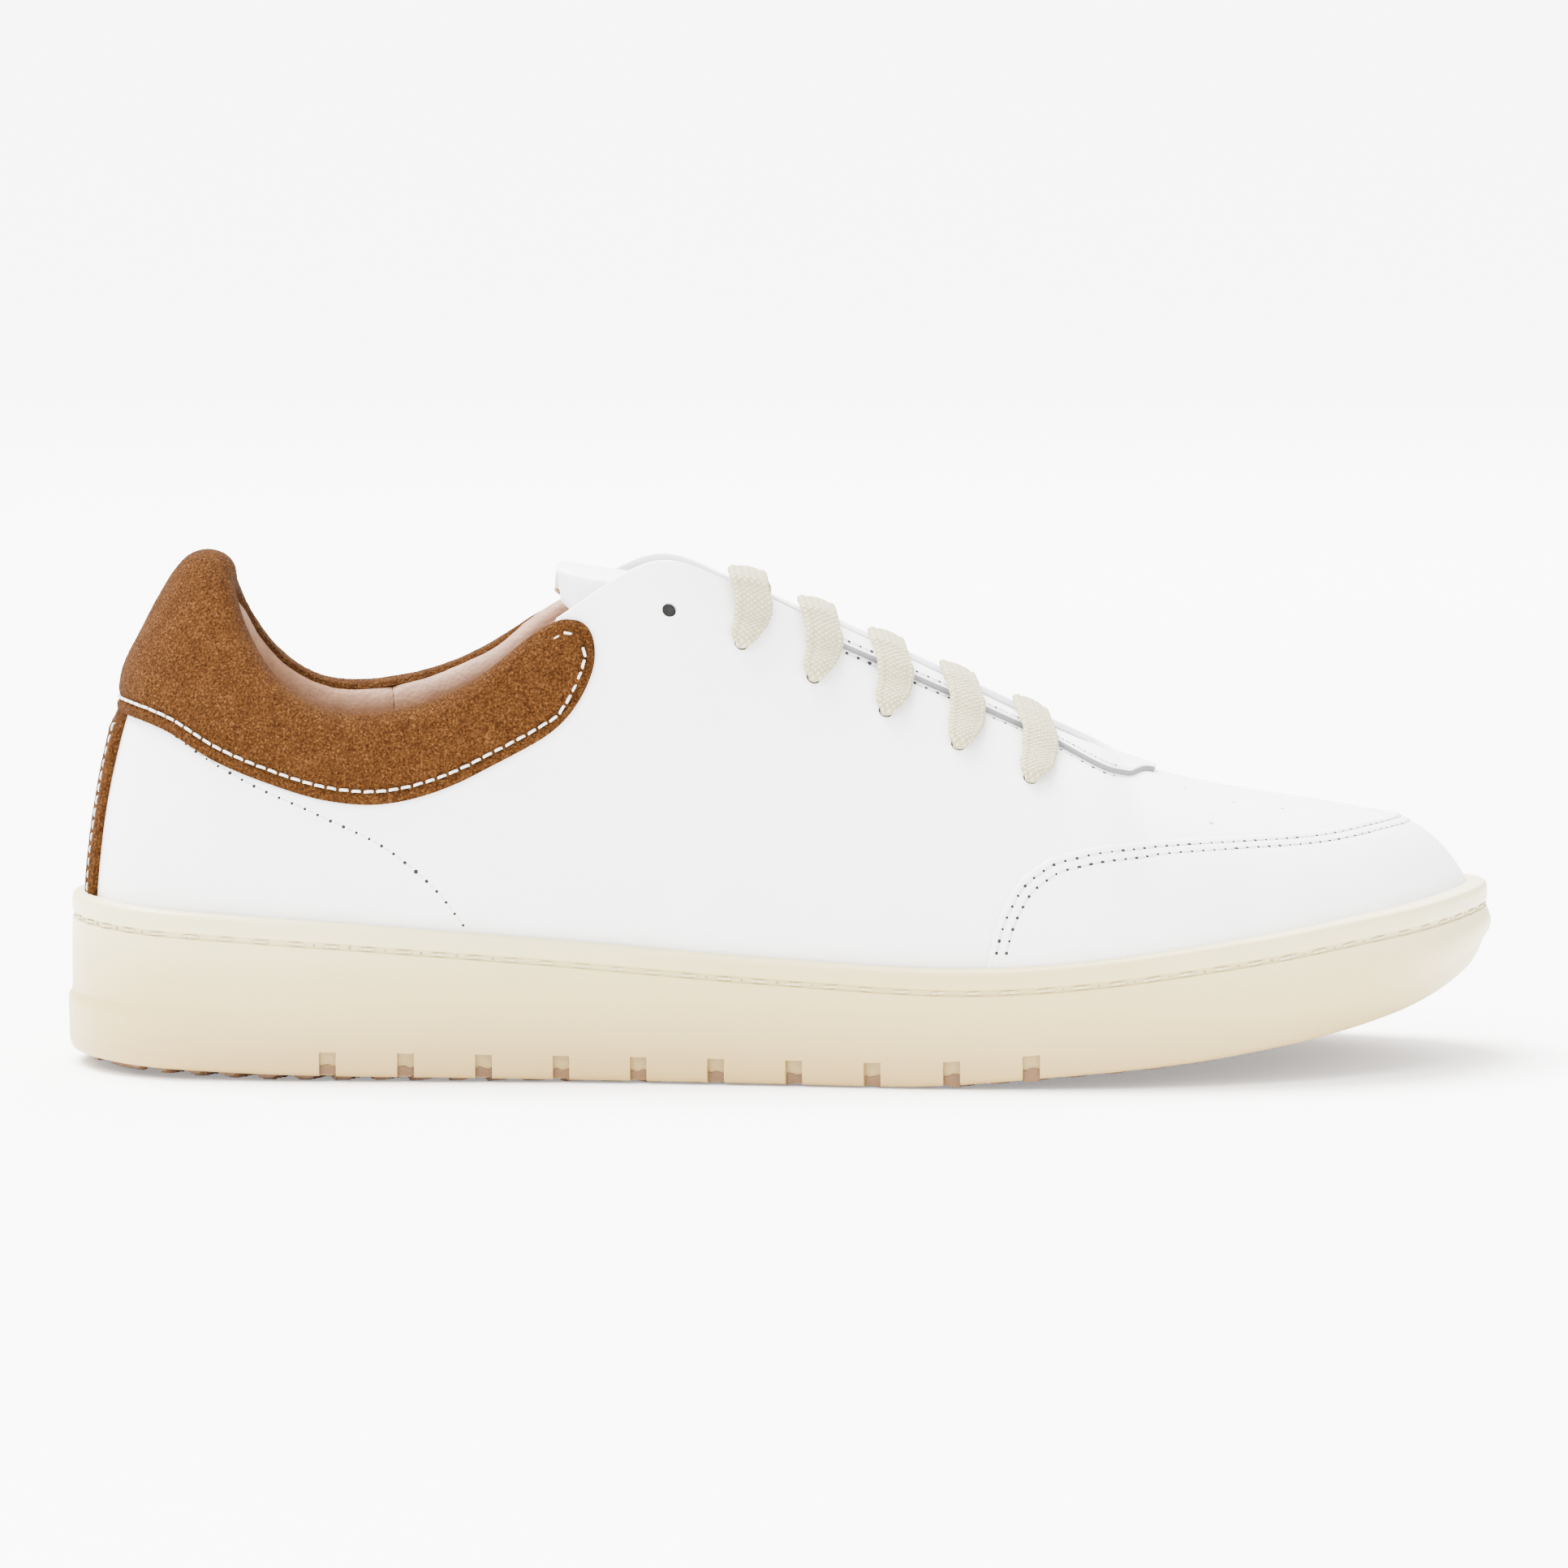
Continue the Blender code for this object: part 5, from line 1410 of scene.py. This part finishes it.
def braid(places):
    """A flat braided ribbon: low edges, a soft middle and the diagonal strands in relief."""
    centres, widths, depths, length = smooth_route(places)
    sides = 44
    angle = np.arange(sides) * 2 * math.pi / sides
    cx, cy = np.cos(angle), np.sin(angle)
    a = np.sign(cx) * np.abs(cx) ** 0.55 / 2
    b = np.sign(cy) * np.abs(cy) ** 0.75 / 2
    wide = np.linalg.norm(widths, axis=1)[:, None]
    across = a[None] * wide
    strand_a = np.abs(np.sin((length[:, None] + across * 1.35) * math.pi / 2.1))
    strand_b = np.abs(np.sin((length[:, None] - across * 1.35) * math.pi / 2.1))
    relief = np.maximum(strand_a, strand_b * 0.96) ** 0.7
    relief = (relief - 0.75) * 0.26 + 0.15 * np.cos(across * 2 * math.pi / (wide / 5.0))
    relief = relief * np.minimum(wide, 6.0) / 6.0
    wobble = 1 + 0.025 * np.sin(length * 0.9) + 0.02 * np.sin(length * 2.3 + 1)
    tangent = unit(np.gradient(centres, axis=0))
    side = unit(widths)
    out = unit(depths - tangent * (depths * tangent).sum(-1, keepdims=True))
    thick = np.linalg.norm(depths, axis=1)[:, None]
    cup = -0.22 * (a[None] * 2) ** 2 * np.clip(wide / 8, 0, 1)
    profile = centres[:, None] + side[:, None] * (across * wobble[:, None])[..., None] \
        + out[:, None] * (b[None] * thick + np.sign(b)[None] * relief + cup)[..., None]
    uv = np.stack([np.broadcast_to(length[:, None], across.shape), across, np.zeros_like(across)], -1)
    points, faces = swept(profile)
    return (points, faces), uv.reshape(-1, 3)


def make_lace():
    last = EYELETS - 1
    first_hole, last_hole = eyelet_place(last, -1), eyelet_place(1, 1)
    outer_end, inner_end = (first_hole[0] - 0.13, 0.50), (last_hole[0] + 0.05, 0.50)
    route = hidden_run(outer_end, first_hole, -1, 6)
    facing = 1
    for i in range(last, 0, -1):
        bar = lace_bar(i)
        route += bar if facing > 0 else [(c, -w, d) for c, w, d in reversed(bar)]
        if i > 1:
            route += hidden_run(eyelet_place(i, facing), eyelet_place(i - 1, facing), facing)
        facing = -facing
    route += hidden_run(last_hole, inner_end, 1, 6)
    ribbon, uv = braid(route)
    stand_in("lace", [ribbon], LACE, "cotton_lace", weld=0, sharp=80, uv=uv)
    for name, (t, v), place, onward in (
        ("outer_aglet", outer_end, route[0][0], -0.08), ("inner_aglet", inner_end, route[-1][0], 0.08),
    ):
        start = place - side_normal(t, v) * 0.5
        heading = unit(layer(t + onward, v, -LACE_DEPTH - 1.2) - start)
        side = unit(np.cross(heading, [0.3, 0.2, 1.0]))
        tip = turned(start + heading * 0.6, heading, side, np.cross(heading, side), AGLET_SHAPE)
        stand_in(name, [tip], AGLET, "aglet_plastic", sharp=40)


# ---- The CAD pieces that stay: their materials ----

def dress_cad():
    for name, material in (
        ("heel_counter", BOARD), ("toe_puff", BOARD), ("insole_board", BOARD), ("midsole_cushion", FOAM),
        ("outer_eyestay_tape", BOARD), ("inner_eyestay_tape", BOARD), ("collar_foam", FOAM),
    ):
        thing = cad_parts[name]
        thing.data.materials.clear()
        thing.data.materials.append(material)


# ---- Camera, floor and light ----

def lamp(name, kind, power, away, place=(0, 0, 0)):
    """A light that shines against the way it is from its aim."""
    light = bpy.data.lights.new(name, kind)
    light.energy = power
    holder = bpy.data.objects.new(name, light)
    bpy.context.scene.collection.objects.link(holder)
    holder.location = place
    holder.rotation_euler = away.to_track_quat("Z", "Y").to_euler()
    return light


DISTANCE, VIEW_WIDTH = 2.0, 0.3312     # of the camera from the shoe, and what it takes in there, m


def make_stage():
    elevation = math.radians(5.5)
    target = Vector((0.0005, 0.0, 0.0585))
    camera_data = bpy.data.cameras.new("camera")
    camera = bpy.data.objects.new("camera", camera_data)
    bpy.context.scene.collection.objects.link(camera)
    away = Vector((0, -math.cos(elevation), math.sin(elevation)))
    camera.location = target + away * DISTANCE
    camera.rotation_euler = away.to_track_quat("Z", "Y").to_euler()
    camera_data.sensor_width = 36
    camera_data.lens = 36 * DISTANCE / VIEW_WIDTH
    camera_data.dof.use_dof = False
    bpy.context.scene.camera = camera

    bpy.ops.mesh.primitive_plane_add(size=60, location=(0, 0, 0))
    floor = bpy.context.active_object
    floor.name = "floor"
    material, _, shader = new_material("floor", (0.95, 0.945, 0.94), 0.9)
    shader.inputs["Specular IOR Level"].default_value = 0.1
    shader.inputs["Emission Color"].default_value = (1, 1, 1, 1)
    shader.inputs["Emission Strength"].default_value = 0.35
    floor.data.materials.append(material)

    world = bpy.data.worlds.new("world")
    bpy.context.scene.world = world
    world.use_nodes = True
    background = world.node_tree.nodes["Background"]
    background.inputs["Color"].default_value = (1.0, 1.0, 1.0, 1)
    background.inputs["Strength"].default_value = 2.4
    for name, place, aim, size, power in (
        ("key", (-0.9, -1.6, 1.7), (0, 0, 0.03), 1.3, 105.0),
        ("fill", (1.3, -1.5, 0.7), (0, 0, 0.05), 1.2, 27.0),
        ("back", (0.3, 1.6, 1.4), (0, 0, 0.05), 1.4, 60.0),
    ):
        light = lamp(name, "AREA", power, Vector(place) - Vector(aim), place)
        light.size = size
    sun = lamp("overhead", "SUN", 21.0, Vector((-0.35, 0.30, 1.0)))
    sun.angle = math.radians(40)


make_cup_sole()
make_sole_stitch()
make_tread()
make_upper()
make_eyelet_shade()
make_toe_guard()
make_throat_trim()
make_collar()
make_heel_strip()
make_counter_stitch()
make_linings()
make_footbed()
make_tongue()
make_lace()
dress_cad()
make_stage()
